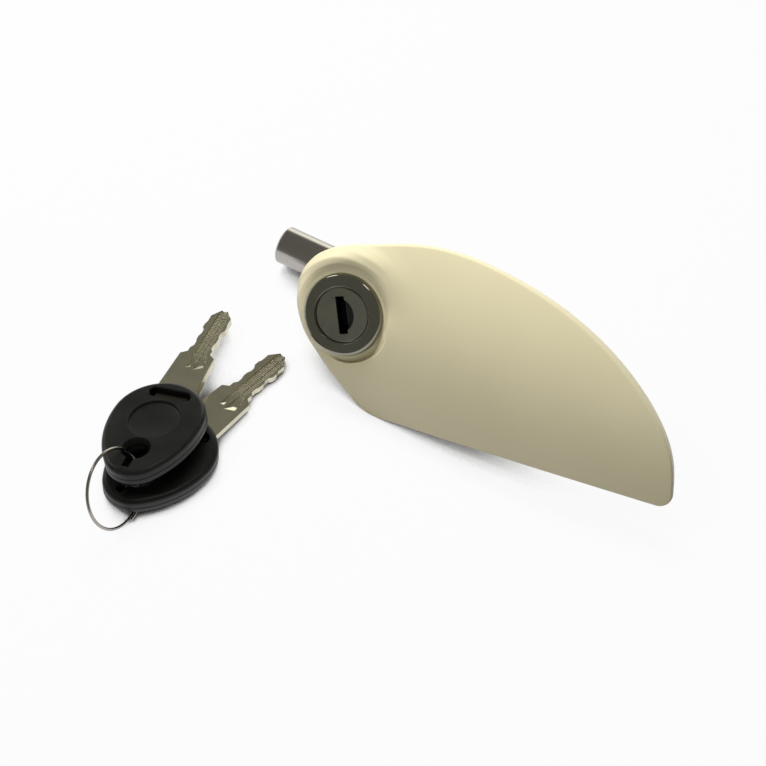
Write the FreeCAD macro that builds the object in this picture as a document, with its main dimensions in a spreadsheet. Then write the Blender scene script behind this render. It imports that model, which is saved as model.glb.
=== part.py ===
import FreeCAD, Part
import Sketcher
import math
import os
from FreeCAD import Placement, Rotation, Vector

# Keyed leaf handle on a drive shaft, with its cam lock and its two keys on a wire ring.
# The origin is the centre of the free end of the drive shaft, which points along -X. +Z is up from the
# table that the lock lies on, and the leaf's tip points along +X.
# The lock's own pieces are drawn in the lock frame: its origin is the centre of the barrel's face, z
# points out of that face, x runs along the leaf and y up the leaf's slope.
# Each key is drawn in a key frame: x across, y towards the tip, z up, origin in the middle of its disc.

SIZES = (
    ("face_tilt", 34.2, "angle of the barrel axis above the table, degrees"),
    ("running_fit", 0.05, "radial clearance of turning pieces"),
    ("seat_gap", 0.3, "clearance between pieces that only stand next to each other"),
    # leaf handle
    ("leaf_tip_reach", 94.9, "leaf: barrel axis to tip"),
    ("leaf_nose_reach", 15.5, "leaf: barrel axis to rounded end"),
    ("leaf_crest_reach", 26.6, "leaf: barrel axis to highest point of the upper edge"),
    ("leaf_foot_reach", 24.3, "leaf: barrel axis to lowest point of the lower corner"),
    ("leaf_rim_depth", 7.5, "leaf: rim's back edge behind the barrel face"),
    ("crown_height", 0.8, "leaf: top of the crown before the barrel face"),
    ("crown_long_radius", 285.0, "leaf: crown's curve along the leaf"),
    ("crown_cross_radius", 57.0, "leaf: crown's curve across the leaf"),
    ("crown_place", 38.0, "leaf: top of the crown along the leaf"),
    ("crown_offset", 2.0, "leaf: top of the crown above the barrel axis"),
    ("crown_lean", 3.5, "leaf: crown's fall towards the tip, degrees"),
    ("leaf_wall", 2.5, "leaf: thickness of shell and rim"),
    ("leaf_rib", 1.8, "leaf: thickness of the stiffening ribs"),
    ("pad_radius", 12.3, "flat pad under the bezel"),
    ("pad_skirt", 3.6, "width of the slope from pad to rim"),
    ("dish_width", 9.5, "width of the hollow round the pad"),
    # boss and shaft socket under the leaf
    ("boss_radius", 13.2, "boss that holds the barrel"),
    ("cam_room", 5.2, "boss beyond the barrel's end"),
    ("clip_chamber_radius", 11.0, "wider bore that holds clip and cam"),
    ("clip_rise", 4.4, "ledge that the clip bears on, before the barrel's end"),
    ("cam_window_start", -22, "cam window in the boss: first angle, degrees"),
    ("cam_window_end", 112, "cam window in the boss: last angle, degrees"),
    ("cam_window_rise", 0.4, "cam window in the boss: its top before the barrel's end"),
    ("boss_overlap", 0.5, "how far saddle and long rib reach into the boss and past the shaft's axis"),
    ("socket_wall", 2.2, "wall of the shaft socket"),
    ("socket_start", -7.5, "open end of the socket along the leaf"),
    ("socket_end", 22.0, "closed end of the socket along the leaf"),
    ("gusset_reach", 62.0, "end of the long rib along the leaf"),
    ("gusset_offset", 7.0, "long rib below the barrel axis"),
    ("gusset_inset", 4.0, "long rib: how far it starts inside socket and boss"),
    # drive shaft and its pin
    ("shaft_radius", 5.5, "drive shaft"),
    ("shaft_overhang", 33.4, "free end of the shaft before the barrel axis"),
    ("shaft_drop", 8.3, "shaft axis behind the boss's end"),
    ("shaft_offset", 1.25, "shaft axis above the barrel axis"),
    ("shaft_chamfer", 0.5, "edge of the shaft's free end"),
    ("shaft_seat_radius", 5.0, "shaft's turned-down seat in the socket"),
    ("shaft_shoulder_gap", 0.5, "shaft's shoulder before the socket's mouth"),
    ("shaft_pin_radius", 1.5, "spring pin through socket and shaft"),
    ("shaft_pin_place", 9.0, "spring pin along the leaf"),
    ("shaft_pin_wall", 0.6, "sheet of the spring pin"),
    # barrel
    ("barrel_radius", 9.0, "outside of the housing"),
    ("barrel_depth", 18.0, "end of the housing behind its face"),
    ("bezel_radius", 11.0, "outside of the bezel"),
    ("bezel_flat_radius", 10.1, "outer edge of the bezel's flat face"),
    ("bezel_bore", 7.65, "opening of the bezel"),
    ("bezel_height", 1.7, "bezel over the pad"),
    ("bezel_lip", 0.5, "thickness of the bezel's lip over the housing"),
    ("collar_radius", 8.6, "housing's collar inside the bezel"),
    ("plug_radius", 6.3, "plug"),
    ("cap_radius", 7.4, "cap on the plug"),
    ("cap_bore", 7.5, "recess that the cap turns in"),
    ("cap_front", 0.35, "cap's face behind the bezel's face"),
    ("cap_thickness", 1.2, "cap"),
    ("cap_edge", 0.3, "rounded edge of the cap"),
    ("seal_section", 0.75, "O-ring section radius"),
    ("seal_depth", 6.0, "O-ring behind the face"),
    ("clip_thickness", 1.0, "retaining clip"),
    ("clip_groove_radius", 8.0, "groove floor under the clip"),
    ("clip_radius", 10.5, "outside of the clip"),
    ("clip_opening", 9.0, "gap between the clip's ends"),
    # keyway, guard and shutter
    ("keyway_lean", 27.5, "keyway's turn from the leaf's slope, degrees"),
    ("keyhole_length", 10.0, "slot in the cap"),
    ("keyhole_width", 2.4, "slot in the cap"),
    ("guard_radius", 4.7, "round side of the keyhole"),
    ("guard_shift", 1.3, "centre of that round behind the slot's centre"),
    ("guard_sink", 0.5, "guard's face below the cap's face"),
    ("keyway_width", 2.6, "keyway in the plug"),
    ("keyway_height", 7.4, "keyway in the plug"),
    ("shutter_length", 6.2, "dust shutter along the slot"),
    ("shutter_reach", 4.2, "dust shutter from its pin to its free edge"),
    ("shutter_thickness", 0.5, "dust shutter"),
    ("shutter_depth", 3.0, "shutter pin behind the barrel face"),
    ("shutter_pin_radius", 0.4, "shutter pin"),
    ("shutter_pin_place", 3.1, "shutter pin beside the keyway's centre"),
    ("shutter_knuckle", 0.8, "shutter's barrel on its pin"),
    # wafers
    ("wafer_count", 6, "wafers"),
    ("wafer_first", 8.2, "first wafer behind the barrel face"),
    ("wafer_pitch", 1.45, "from wafer to wafer"),
    ("wafer_thickness", 0.9, "wafer"),
    ("wafer_width", 5.0, "wafer across the keyway"),
    ("wafer_lift", 0.7, "travel of a wafer into the housing's groove"),
    ("wafer_window_width", 2.6, "key window of a wafer"),
    ("wafer_window_height", 7.3, "key window of a wafer"),
    ("groove_depth", 0.95, "wafer grooves in the housing's bore"),
    ("comb_place", 3.1, "comb spring beside the keyway's centre"),
    ("comb_thickness", 0.3, "comb spring"),
    # cam
    ("tail_width", 5.0, "square tail of the plug"),
    ("tail_length", 2.2, "square tail of the plug"),
    ("cam_thickness", 1.6, "hook cam"),
    ("cam_hub_radius", 6.0, "hook cam round the tail"),
    ("cam_width", 7.0, "arm of the hook cam"),
    ("cam_reach", 20.5, "hook cam from the barrel axis"),
    ("cam_hook", 3.4, "hook beyond the arm's side"),
    ("cam_hook_width", 3.2, "hook along the arm"),
    ("cam_turn", 90, "angle from unlocked to locked, degrees"),
    ("screw_radius", 1.5, "cam screw"),
    ("screw_length", 3.8, "cam screw under its head"),
    ("screw_head_radius", 3.0, "cam screw"),
    ("screw_head_height", 1.5, "cam screw"),
    ("washer_radius", 3.8, "spring washer"),
    ("washer_thickness", 0.6, "spring washer"),
    # keys
    ("key_length", 45.3, "key's tip before the middle of its disc"),
    ("key_shoulder", 26.3, "key's shoulders before the middle of its disc"),
    ("key_blade_width", 6.6, "bitted part of the blade"),
    ("key_blade_thickness", 2.2, "blade"),
    ("key_shank_width", 10.0, "shank at the shoulders"),
    ("key_shank_root", 11.0, "shank where it leaves the head"),
    ("key_tang_reach", 4.0, "tang in the head, behind the disc's middle"),
    ("key_tang_inset", 1.2, "tang's sides inside the shank's"),
    ("key_cut_pitch", 2.5, "from cut to cut"),
    ("key_flute_width", 1.1, "flutes along the blade"),
    ("key_flute_depth", 0.5, "flutes along the blade"),
    ("head_half_width", 12.3, "key head"),
    ("head_front", 14.0, "key head before its disc's middle"),
    ("head_back", 18.9, "key head behind its disc's middle"),
    ("head_back_radius", 8.0, "key head's narrow end"),
    ("head_side_radius", 26.0, "key head's long sides"),
    ("head_thickness", 5.2, "key head"),
    ("head_edge", 1.1, "bevel of the key head"),
    ("disc_radius", 6.6, "round recess of the head"),
    ("disc_sink", 0.35, "round recess of the head"),
    ("ring_hole_radius", 3.1, "ring hole"),
    ("ring_hole_flare", 1.3, "countersink of the ring hole"),
    ("ring_hole_place", 10.45, "ring hole behind the disc's middle"),
    ("window_place", 9.4, "oval window before the disc's middle"),
    ("window_length", 11.6, "oval window"),
    ("window_width", 3.2, "oval window"),
    ("blade_seat_gap", 0.02, "head moulded round the blade"),
    # where the keys lie
    ("lower_key_x", 10.7, "lower key: disc's middle"),
    ("lower_key_y", -75.56, "lower key: disc's middle"),
    ("lower_key_yaw", -9.9, "lower key, degrees"),
    ("lower_key_pitch", -3.2, "lower key, degrees"),
    ("upper_key_x", 6.29, "upper key: disc's middle"),
    ("upper_key_y", -72.77, "upper key: disc's middle"),
    ("upper_key_height", 12.95, "upper key: disc's top above the table"),
    ("upper_key_yaw", 10.15, "upper key, degrees"),
    ("upper_key_pitch", -7.37, "upper key, degrees"),
    ("upper_key_roll", -9.21, "upper key, degrees"),
    ("ring_x", 8.10, "wire ring's centre"),
    ("ring_y", -93.03, "wire ring's centre"),
    ("ring_height", 9.75, "wire ring's centre above the table"),
    ("ring_azimuth", 188.2, "wire ring's axis, degrees"),
    ("ring_elevation", -23.8, "wire ring's axis, degrees"),
    ("ring_radius", 9.96, "wire ring, to the middle of the wire"),
    ("ring_wire", 0.4, "wire ring's wire radius"),
)

# Sizes that follow from the ones above.
DERIVED = (
    ("boss_depth", "=barrel_depth + cam_room", "end of the boss behind the barrel face"),
    ("clip_ledge_depth", "=barrel_depth - clip_rise", "ledge that the clip bears on"),
    ("shaft_depth", "=boss_depth + shaft_drop", "shaft axis behind the barrel face"),
)

doc = FreeCAD.newDocument("keyed_leaf_handle")
sheet = doc.addObject("Spreadsheet::Sheet", "dims")
for row, (alias, value, note) in enumerate(SIZES + DERIVED, start=1):
    sheet.set(f"A{row}", note)
    sheet.set(f"B{row}", str(value))
    sheet.setAlias(f"B{row}", alias)
doc.recompute()

ALIASES = {alias for alias, value, note in SIZES + DERIVED}
nodes = []


def dim(alias):
    """The number that the sheet holds under this alias."""
    return float(sheet.get(alias))


def bound(text):
    """An expression with each sheet alias in it written as dims.alias."""
    words = []
    word = ""
    for letter in text + " ":
        if letter.isalnum() or letter in "_.":
            word += letter
            continue
        words.append(f"dims.{word}" if word in ALIASES else word)
        words.append(letter)
        word = ""
    return "".join(words).strip()


def node(feature, name, frame):
    """Names a finished sub-part and places it with its frame."""
    feature.Label = name
    feature.setExpression("Placement", f"{frame.Name}.Placement")
    nodes.append(feature)
    return feature


def frame_object(name, expression):
    """An empty feature whose placement the sub-parts of one frame share."""
    frame = doc.addObject("Part::Feature", name)
    frame.setExpression("Placement", bound(expression))
    return frame


def place(feature, x, y, z):
    """Binds a primitive's position."""
    for axis, text in zip("xyz", (x, y, z)):
        if text != "0":
            feature.setExpression(f"Placement.Base.{axis}", bound(text))
    return feature


def box(name, length, width, height, x="0", y="0", z="0"):
    """A block whose middle in x and y is at x, y and whose underside is at z."""
    block = doc.addObject("Part::Box", name)
    block.setExpression("Length", bound(length))
    block.setExpression("Width", bound(width))
    block.setExpression("Height", bound(height))
    return place(block, f"{x} - ({length}) / 2", f"{y} - ({width}) / 2", z)


def cylinder(name, radius, height, x="0", y="0", z="0", axis="z"):
    """A cylinder from x, y, z along the axis."""
    rod = doc.addObject("Part::Cylinder", name)
    rod.setExpression("Radius", bound(radius))
    rod.setExpression("Height", bound(height))
    turns = {"z": Rotation(), "x": Rotation(Vector(0, 1, 0), 90), "y": Rotation(Vector(1, 0, 0), -90)}
    rod.Placement = Placement(Vector(), turns[axis])
    return place(rod, x, y, z)


def fuse(name, shapes):
    union = doc.addObject("Part::MultiFuse", name)
    union.Shapes = shapes
    return union


def cut(name, base, tool):
    difference = doc.addObject("Part::Cut", name)
    difference.Base = base
    difference.Tool = tool
    return difference


def common(name, shapes):
    overlap = doc.addObject("Part::MultiCommon", name)
    overlap.Shapes = shapes
    return overlap


def solid(name, shape):
    """A feature that holds a computed shape."""
    feature = doc.addObject("Part::Feature", name)
    feature.Shape = shape
    return feature


def new_body(name):
    return doc.addObject("PartDesign::Body", f"{name}_body")


def new_sketch(body, role, height="0"):
    """A sketch on one of the body's origin planes, raised along the plane's normal."""
    sketch = body.newObject("Sketcher::SketchObject", "sketch")
    support = next(plane for plane in body.Origin.OriginFeatures if plane.Role == role)
    sketch.AttachmentSupport = (support, [""])
    sketch.MapMode = "FlatFace"
    sketch.setExpression("AttachmentOffset.Base.z", bound(height))
    return sketch


def drive(sketch, constraint, expression):
    index = sketch.addConstraint(constraint)
    sketch.setExpression(f"Constraints[{index}]", bound(expression))


def draw_polygon(sketch, corners):
    """A closed polygon whose corners' coordinates are bound to expressions."""
    count = len(corners)
    first = sketch.GeometryCount
    for i in range(count):
        a, b = (2 * math.pi * k / count for k in (i, i + 1))
        start = Vector(math.cos(a), math.sin(a), 0)
        sketch.addGeometry(Part.LineSegment(start, Vector(math.cos(b), math.sin(b), 0)), False)
    for i in range(count):
        sketch.addConstraint(Sketcher.Constraint("Coincident", first + i, 2, first + (i + 1) % count, 1))
    for i, (across, up) in enumerate(corners):
        drive(sketch, Sketcher.Constraint("DistanceX", first + i, 1, 1.0), across)
        drive(sketch, Sketcher.Constraint("DistanceY", first + i, 1, 1.0), up)


def draw_rectangle(sketch, left, right, bottom, top):
    draw_polygon(sketch, ((left, bottom), (right, bottom), (right, top), (left, top)))


def draw_circle(sketch, radius, across="0", up="0"):
    index = sketch.addGeometry(Part.Circle(Vector(0, 0, 0), Vector(0, 0, 1), 1), False)
    drive(sketch, Sketcher.Constraint("Radius", index, 1.0), radius)
    drive(sketch, Sketcher.Constraint("DistanceX", index, 3, 1.0), across)
    drive(sketch, Sketcher.Constraint("DistanceY", index, 3, 1.0), up)


def pad(body, sketch, length, reverse=False, midplane=False):
    feature = body.newObject("PartDesign::Pad", "pad")
    feature.Profile = sketch
    feature.Reversed = reverse
    feature.Midplane = midplane
    feature.setExpression("Length", bound(length))
    return feature


def pocket(body, sketch, length, reverse=False, midplane=False):
    """A pocket; it must take something away."""
    doc.recompute()
    before = body.Shape.Volume
    feature = body.newObject("PartDesign::Pocket", "pocket")
    feature.Profile = sketch
    feature.Reversed = reverse
    feature.Midplane = midplane
    feature.setExpression("Length", bound(length))
    doc.recompute()
    if body.Shape.Volume >= before:
        raise RuntimeError(f"{body.Name}: a pocket cuts nothing")
    return feature


def revolve(body, sketch):
    """Turns a sketch on the XZ plane a full round about the frame's z axis."""
    feature = body.newObject("PartDesign::Revolution", "revolution")
    feature.Profile = sketch
    feature.ReferenceAxis = (sketch, ["V_Axis"])
    feature.Angle = 360
    return feature


def edge_names(shape, wanted):
    """Names of the edges whose middle meets a test."""
    names = []
    for number, edge in enumerate(shape.Edges, start=1):
        middle = edge.valueAt((edge.FirstParameter + edge.LastParameter) / 2)
        if wanted(edge, middle):
            names.append(f"Edge{number}")
    return names


def soften(body, kind, amount, wanted):
    """A fillet or chamfer on the edges that meet a test."""
    doc.recompute()
    base = body.Tip
    feature = body.newObject(f"PartDesign::{kind}", kind.lower())
    feature.Base = (base, edge_names(base.Shape, wanted))
    feature.setExpression("Radius" if kind == "Fillet" else "Size", bound(amount))
    return feature


def linear_pattern(body, features, role, length, count):
    """Repeats features along one of the body's origin axes; negative side first."""
    pattern = body.newObject("PartDesign::LinearPattern", "pattern")
    pattern.Originals = features
    axis = next(line for line in body.Origin.OriginFeatures if line.Role == role)
    pattern.Direction = (axis, [""])
    pattern.Reversed = True
    pattern.setExpression("Length", bound(length))
    pattern.setExpression("Occurrences", bound(count))
    body.Tip = pattern
    return pattern


# Frames

lock_frame = frame_object(
    "lock_frame",
    "placement(vector(shaft_overhang;"
    " -shaft_depth * cos(face_tilt) - shaft_offset * sin(face_tilt);"
    " shaft_depth * sin(face_tilt) - shaft_offset * cos(face_tilt));"
    " rotation(vector(1; 0; 0); 90 - face_tilt))",
)
plug_frame = frame_object(
    "plug_frame",
    "lock_frame.Placement * placement(vector(0; 0; 0); rotation(vector(0; 0; 1); keyway_lean))",
)
table_level = "-(shaft_radius + socket_wall)"
lower_key_frame = frame_object(
    "lower_key_frame",
    "placement(vector(lower_key_x; lower_key_y;"
    f" {table_level} + key_blade_thickness / 2 + key_length * sin(-lower_key_pitch) + 0.02);"
    " rotation(vector(0; 0; 1); lower_key_yaw) * rotation(vector(1; 0; 0); lower_key_pitch))",
)
upper_key_frame = frame_object(
    "upper_key_frame",
    "placement(vector(upper_key_x; upper_key_y;"
    f" {table_level} + upper_key_height - head_thickness / 2);"
    " rotation(vector(0; 0; 1); upper_key_yaw) * rotation(vector(1; 0; 0); upper_key_pitch)"
    " * rotation(vector(0; 1; 0); upper_key_roll))",
)
ring_frame = frame_object(
    "ring_frame",
    f"placement(vector(ring_x; ring_y; {table_level} + ring_height);"
    " rotation(vector(0; 0; 1); ring_azimuth) * rotation(vector(0; 1; 0); 90 - ring_elevation))",
)


# Leaf handle

# Corners of the leaf's outline as shares of its four reaches from the barrel axis: the long curve from
# the lower corner round the nose and over the crest to the tip, then the straighter lower edge.
LONG_CURVE = (
    (0.090, -0.93),
    (-0.17, -0.655),
    (-0.87, -0.18),
    (-1.00, 0.10),
    (-0.80, 0.445),
    (-0.17, 0.68),
    (0.157, 0.944),
    (0.36, 1.00),
    (0.59, 0.873),
    (0.845, 0.444),
    (0.971, -0.03),
    (1.00, -0.37),
)
TIP_CORNER = ((0.9975, -0.475), (0.972, -0.493))
LOWER_EDGE = ((0.58, -0.70), (0.215, -0.968))
FOOT_CORNER = (0.158, -1.0)


def leaf_point(share_x, share_y, level):
    """A point of the outline."""
    reach_x = dim("leaf_tip_reach") if share_x > 0 else dim("leaf_nose_reach")
    reach_y = dim("leaf_crest_reach") if share_y > 0 else dim("leaf_foot_reach")
    return Vector(share_x * reach_x, share_y * reach_y, level)


def leaf_outline(level):
    """The closed outline: one long smooth curve, the tip's corner, the lower edge and the foot's corner."""

    def at(shares):
        return leaf_point(shares[0], shares[1], level)

    curve = Part.BSplineCurve()
    curve.interpolate([at(shares) for shares in LONG_CURVE])
    tip_arc = Part.Arc(at(LONG_CURVE[-1]), at(TIP_CORNER[0]), at(TIP_CORNER[1]))
    lower_arc = Part.Arc(at(TIP_CORNER[1]), at(LOWER_EDGE[0]), at(LOWER_EDGE[1]))
    foot_arc = Part.Arc(at(LOWER_EDGE[1]), at(FOOT_CORNER), at(LONG_CURVE[0]))
    return Part.Wire([piece.toShape() for piece in (curve, tip_arc, lower_arc, foot_arc)])


def crown(name, sink):
    """A torus whose outer side is the crowned face: a long arc carried round a short one."""
    ring = doc.addObject("Part::Torus", name)
    ring.setExpression("Radius1", bound("crown_long_radius - crown_cross_radius"))
    ring.setExpression("Radius2", bound(f"crown_cross_radius - {sink}"))
    ring.setExpression(
        "Placement",
        bound(
            "placement(vector(crown_place; crown_offset; crown_height - crown_long_radius);"
            " rotation(vector(0; 0; 1); -crown_lean) * rotation(vector(1; 0; 0); 90))"
        ),
    )
    return ring


def leaf_prism(name, wire, height):
    return solid(name, Part.Face(wire).extrude(Vector(0, 0, height)))


def turned_ring(points, bulge):
    """A profile turned about the barrel axis; its last side is an arc through bulge."""
    lines = [Part.makeLine(a, b) for a, b in zip(points, points[1:])]
    lines.append(Part.Arc(points[-1], bulge, points[0]).toShape())
    return Part.Face(Part.Wire(lines)).revolve(Vector(), Vector(0, 0, 1), 360)


def leaf_handle():
    """The moulded leaf: crowned shell, bezel pad in its dish, barrel boss, ribs and shaft socket."""
    rim_back = -dim("leaf_rim_depth")
    above = dim("leaf_rim_depth") + 4 * dim("crown_height")
    plan = leaf_prism("leaf_plan", leaf_outline(rim_back), above)
    shell = common("leaf_block", [plan, crown("crown", "0")])
    corners = leaf_outline(rim_back - 1).discretize(61)
    inner_wire = Part.makePolygon(corners).makeOffset2D(-dim("leaf_wall"))
    inner_plan = leaf_prism("leaf_inner_plan", inner_wire, above)
    hollow = common("leaf_hollow", [inner_plan, crown("inner_crown", "leaf_wall")])

    # The pad's slope to the nose, and the hollow that rises from the pad to the crown.
    pad_top = -dim("bezel_height")
    pad_radius = dim("pad_radius")
    slope_end = pad_radius + dim("pad_skirt")
    slope_foot = pad_top - 0.75 * dim("pad_skirt")
    skirt = turned_ring(
        [
            Vector(slope_end, 0, slope_foot),
            Vector(slope_end, 0, rim_back),
            Vector(0, 0, rim_back),
            Vector(0, 0, pad_top),
            Vector(pad_radius, 0, pad_top),
        ],
        Vector(pad_radius + 0.66 * dim("pad_skirt"), 0, pad_top - 0.27 * dim("pad_skirt")),
    )
    pad_block = common("pad_block", [plan, solid("pad_skirt_turned", skirt)])
    dish_end = pad_radius + dim("dish_width")
    dish_top = dim("crown_height") + 0.4
    dish = solid(
        "dish",
        turned_ring(
            [
                Vector(dish_end, 0, dish_top),
                Vector(dish_end, 0, above),
                Vector(0, 0, above),
                Vector(0, 0, pad_top),
                Vector(pad_radius, 0, pad_top),
            ],
            Vector(pad_radius + 0.55 * dim("dish_width"), 0, pad_top + 0.27 * (dish_top - pad_top)),
        ),
    )

    # Ribs are left standing where the hollow is not cut.
    ribs = []
    for number, place_x in enumerate((30, 47, 64)):
        rib = box(f"rib_{number}", "leaf_rib", "80", "20", x=str(place_x), z="1 - leaf_rim_depth")
        ribs.append(rib)
    ribbed_hollow = cut("ribbed_hollow", hollow, fuse("ribs", ribs))

    boss = cylinder("boss", "boss_radius", "boss_depth - bezel_height - 1", z="-boss_depth")
    socket = cylinder(
        "socket",
        "shaft_radius + socket_wall",
        "socket_end - socket_start",
        x="socket_start",
        y="shaft_offset",
        z="-shaft_depth",
        axis="x",
    )
    saddle = box(
        "saddle",
        "boss_radius - socket_start",
        "2 * shaft_radius + 2",
        "shaft_drop + boss_overlap",
        x="(boss_radius + socket_start) / 2",
        y="shaft_offset",
        z="-shaft_depth",
    )
    gusset = solid("gusset", gusset_plate())
    shell_parts = [cut("leaf_shell", shell, ribbed_hollow), pad_block, boss, socket, saddle, gusset]
    body = fuse("leaf_solid", shell_parts)

    bore = cylinder("barrel_bore", "barrel_radius + running_fit", "boss_depth + 5", z="-boss_depth")
    chamber = cylinder(
        "clip_chamber",
        "clip_chamber_radius",
        "boss_depth - clip_ledge_depth",
        z="-boss_depth",
    )
    shaft_bore = cylinder(
        "shaft_bore",
        "shaft_seat_radius + running_fit",
        "socket_end - socket_start - socket_wall",
        x="socket_start",
        y="shaft_offset",
        z="-shaft_depth",
        axis="x",
    )
    pin_hole = cylinder(
        "pin_hole",
        "shaft_pin_radius + 0.02",
        "4 * (shaft_radius + socket_wall)",
        x="shaft_pin_place",
        y="shaft_offset - 2 * (shaft_radius + socket_wall)",
        z="-shaft_depth",
        axis="y",
    )
    window = solid("cam_window", cam_window())
    hollows = [dish, bore, chamber, shaft_bore, pin_hole, window]
    return cut("leaf_finished", body, fuse("leaf_cuts", hollows))


def cam_window():
    """The sector of the boss that is left open for the cam, from the barrel's end down."""
    top = dim("cam_window_rise") - dim("barrel_depth")
    height = dim("boss_depth") + top
    start = dim("cam_window_start")
    angle = dim("cam_window_end") - start
    foot = Vector(0, 0, top - height)
    sector = Part.makeCylinder(dim("boss_radius") + 1, height, foot, Vector(0, 0, 1), angle)
    sector.rotate(Vector(), Vector(0, 0, 1), start)
    return sector


def gusset_plate():
    """The long rib from the shaft socket out to the middle of the leaf."""
    thickness = dim("leaf_wall")
    y = -dim("gusset_offset") - thickness / 2
    low = dim("boss_overlap") - dim("shaft_depth")
    high = -dim("leaf_rim_depth") + dim("leaf_wall")
    web_top = dim("boss_overlap") - dim("boss_depth")
    inset = dim("gusset_inset")
    corners = [
        Vector(dim("socket_start") + inset, y, low),
        Vector(dim("socket_end") - inset, y, low),
        Vector(dim("gusset_reach"), y, 1 - dim("leaf_rim_depth")),
        Vector(dim("gusset_reach"), y, high),
        Vector(dim("boss_radius") - inset, y, high),
        Vector(dim("boss_radius") - inset, y, web_top),
        Vector(dim("socket_start") + inset, y, web_top),
    ]
    return Part.Face(Part.makePolygon(corners + corners[:1])).extrude(Vector(0, thickness, 0))


# Drive shaft and its pin


def drive_shaft():
    """A round bar with a turned-down seat in the socket and the cross hole for its pin."""
    body = new_body("drive_shaft")
    shoulder = "socket_start - shaft_shoulder_gap"
    section = new_sketch(body, "YZ_Plane", "-shaft_overhang")
    draw_circle(section, "shaft_radius", "shaft_offset", "-shaft_depth")
    pad(body, section, f"shaft_overhang + {shoulder}")
    seat = new_sketch(body, "YZ_Plane", shoulder)
    draw_circle(seat, "shaft_seat_radius", "shaft_offset", "-shaft_depth")
    pad(body, seat, f"socket_end - socket_wall - seat_gap - ({shoulder})")
    hole = new_sketch(body, "XZ_Plane")
    draw_circle(hole, "shaft_pin_radius + 0.02", "shaft_pin_place", "-shaft_depth")
    pocket(body, hole, "4 * shaft_radius", midplane=True)
    soften(
        body,
        "Chamfer",
        "shaft_chamfer",
        lambda edge, middle: is_circle(edge, dim("shaft_radius")) and middle.x < 2 * dim("socket_start"),
    )
    return body


def is_circle(edge, radius):
    return isinstance(edge.Curve, Part.Circle) and abs(edge.Curve.Radius - radius) < 1e-4


def shaft_pin():
    """A slotted spring pin, rolled from sheet."""
    length = "2 * (shaft_radius + socket_wall) - 0.4"
    start = "shaft_offset - (shaft_radius + socket_wall) + 0.2"
    place_at = {"x": "shaft_pin_place", "y": start, "z": "-shaft_depth", "axis": "y"}
    outside = cylinder("pin_outside", "shaft_pin_radius", length, **place_at)
    inside = cylinder("pin_inside", "shaft_pin_radius - shaft_pin_wall", length, **place_at)
    slot = box(
        "pin_slot",
        "0.5",
        "4 * (shaft_radius + socket_wall)",
        "2 * shaft_pin_radius",
        x="shaft_pin_place",
        z="-shaft_depth",
    )
    return cut("shaft_pin_finished", outside, fuse("pin_cuts", [inside, slot]))


# Barrel


def barrel_housing():
    """The turned housing: collar, seal groove and clip groove outside, cap recess and plug bore inside."""
    body = new_body("barrel_housing")
    profile = new_sketch(body, "XZ_Plane")
    collar_top = "-bezel_lip"
    cap_floor = "-cap_front - cap_thickness - 0.1"
    seal_floor = "barrel_radius + running_fit - 2 * seal_section"
    draw_polygon(
        profile,
        (
            ("plug_radius + running_fit", cap_floor),
            ("cap_bore", cap_floor),
            ("cap_bore", collar_top),
            ("collar_radius", collar_top),
            ("collar_radius", "-bezel_height"),
            ("barrel_radius", "-bezel_height"),
            ("barrel_radius", "-seal_depth + seal_section"),
            (seal_floor, "-seal_depth + seal_section"),
            (seal_floor, "-seal_depth - seal_section"),
            ("barrel_radius", "-seal_depth - seal_section"),
            ("barrel_radius", "-clip_ledge_depth"),
            ("clip_groove_radius", "-clip_ledge_depth"),
            ("clip_groove_radius", "-clip_ledge_depth - clip_thickness - 0.1"),
            ("barrel_radius", "-clip_ledge_depth - clip_thickness - 0.1"),
            ("barrel_radius", "-barrel_depth"),
            ("plug_radius + running_fit", "-barrel_depth"),
        ),
    )
    revolve(body, profile)
    margin = "wafer_thickness / 2 + 0.5"
    span = "wafer_pitch * (wafer_count - 1)"
    groove = new_sketch(body, "XY_Plane", f"-wafer_first - {span} - ({margin})")
    half = "wafer_width / 2 + 0.2"
    reach = "plug_radius + groove_depth"
    draw_rectangle(groove, f"-({half})", half, f"-({reach})", reach)
    length = f"{span} + 2 * ({margin})"
    first = pocket(body, groove, length, reverse=True)
    pattern = body.newObject("PartDesign::PolarPattern", "quarter_turns")
    pattern.Originals = [first]
    axis = next(line for line in body.Origin.OriginFeatures if line.Role == "Z_Axis")
    pattern.Axis = (axis, [""])
    pattern.Angle = 90
    pattern.Occurrences = 2
    body.Tip = pattern
    return body


def bezel_ring():
    """The chromed ring crimped on the housing's collar."""
    body = new_body("bezel_ring")
    profile = new_sketch(body, "XZ_Plane")
    draw_polygon(
        profile,
        (
            ("bezel_bore", "-bezel_lip"),
            ("bezel_bore", "0"),
            ("bezel_flat_radius", "0"),
            ("bezel_radius - 0.15", "-0.55 * bezel_height"),
            ("bezel_radius", "-bezel_height"),
            ("collar_radius + 0.02", "-bezel_height"),
            ("collar_radius + 0.02", "-bezel_lip"),
        ),
    )
    revolve(body, profile)
    soften(
        body,
        "Chamfer",
        "bezel_lip / 2",
        lambda edge, middle: middle.z > -0.1,
    )
    return body


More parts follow.
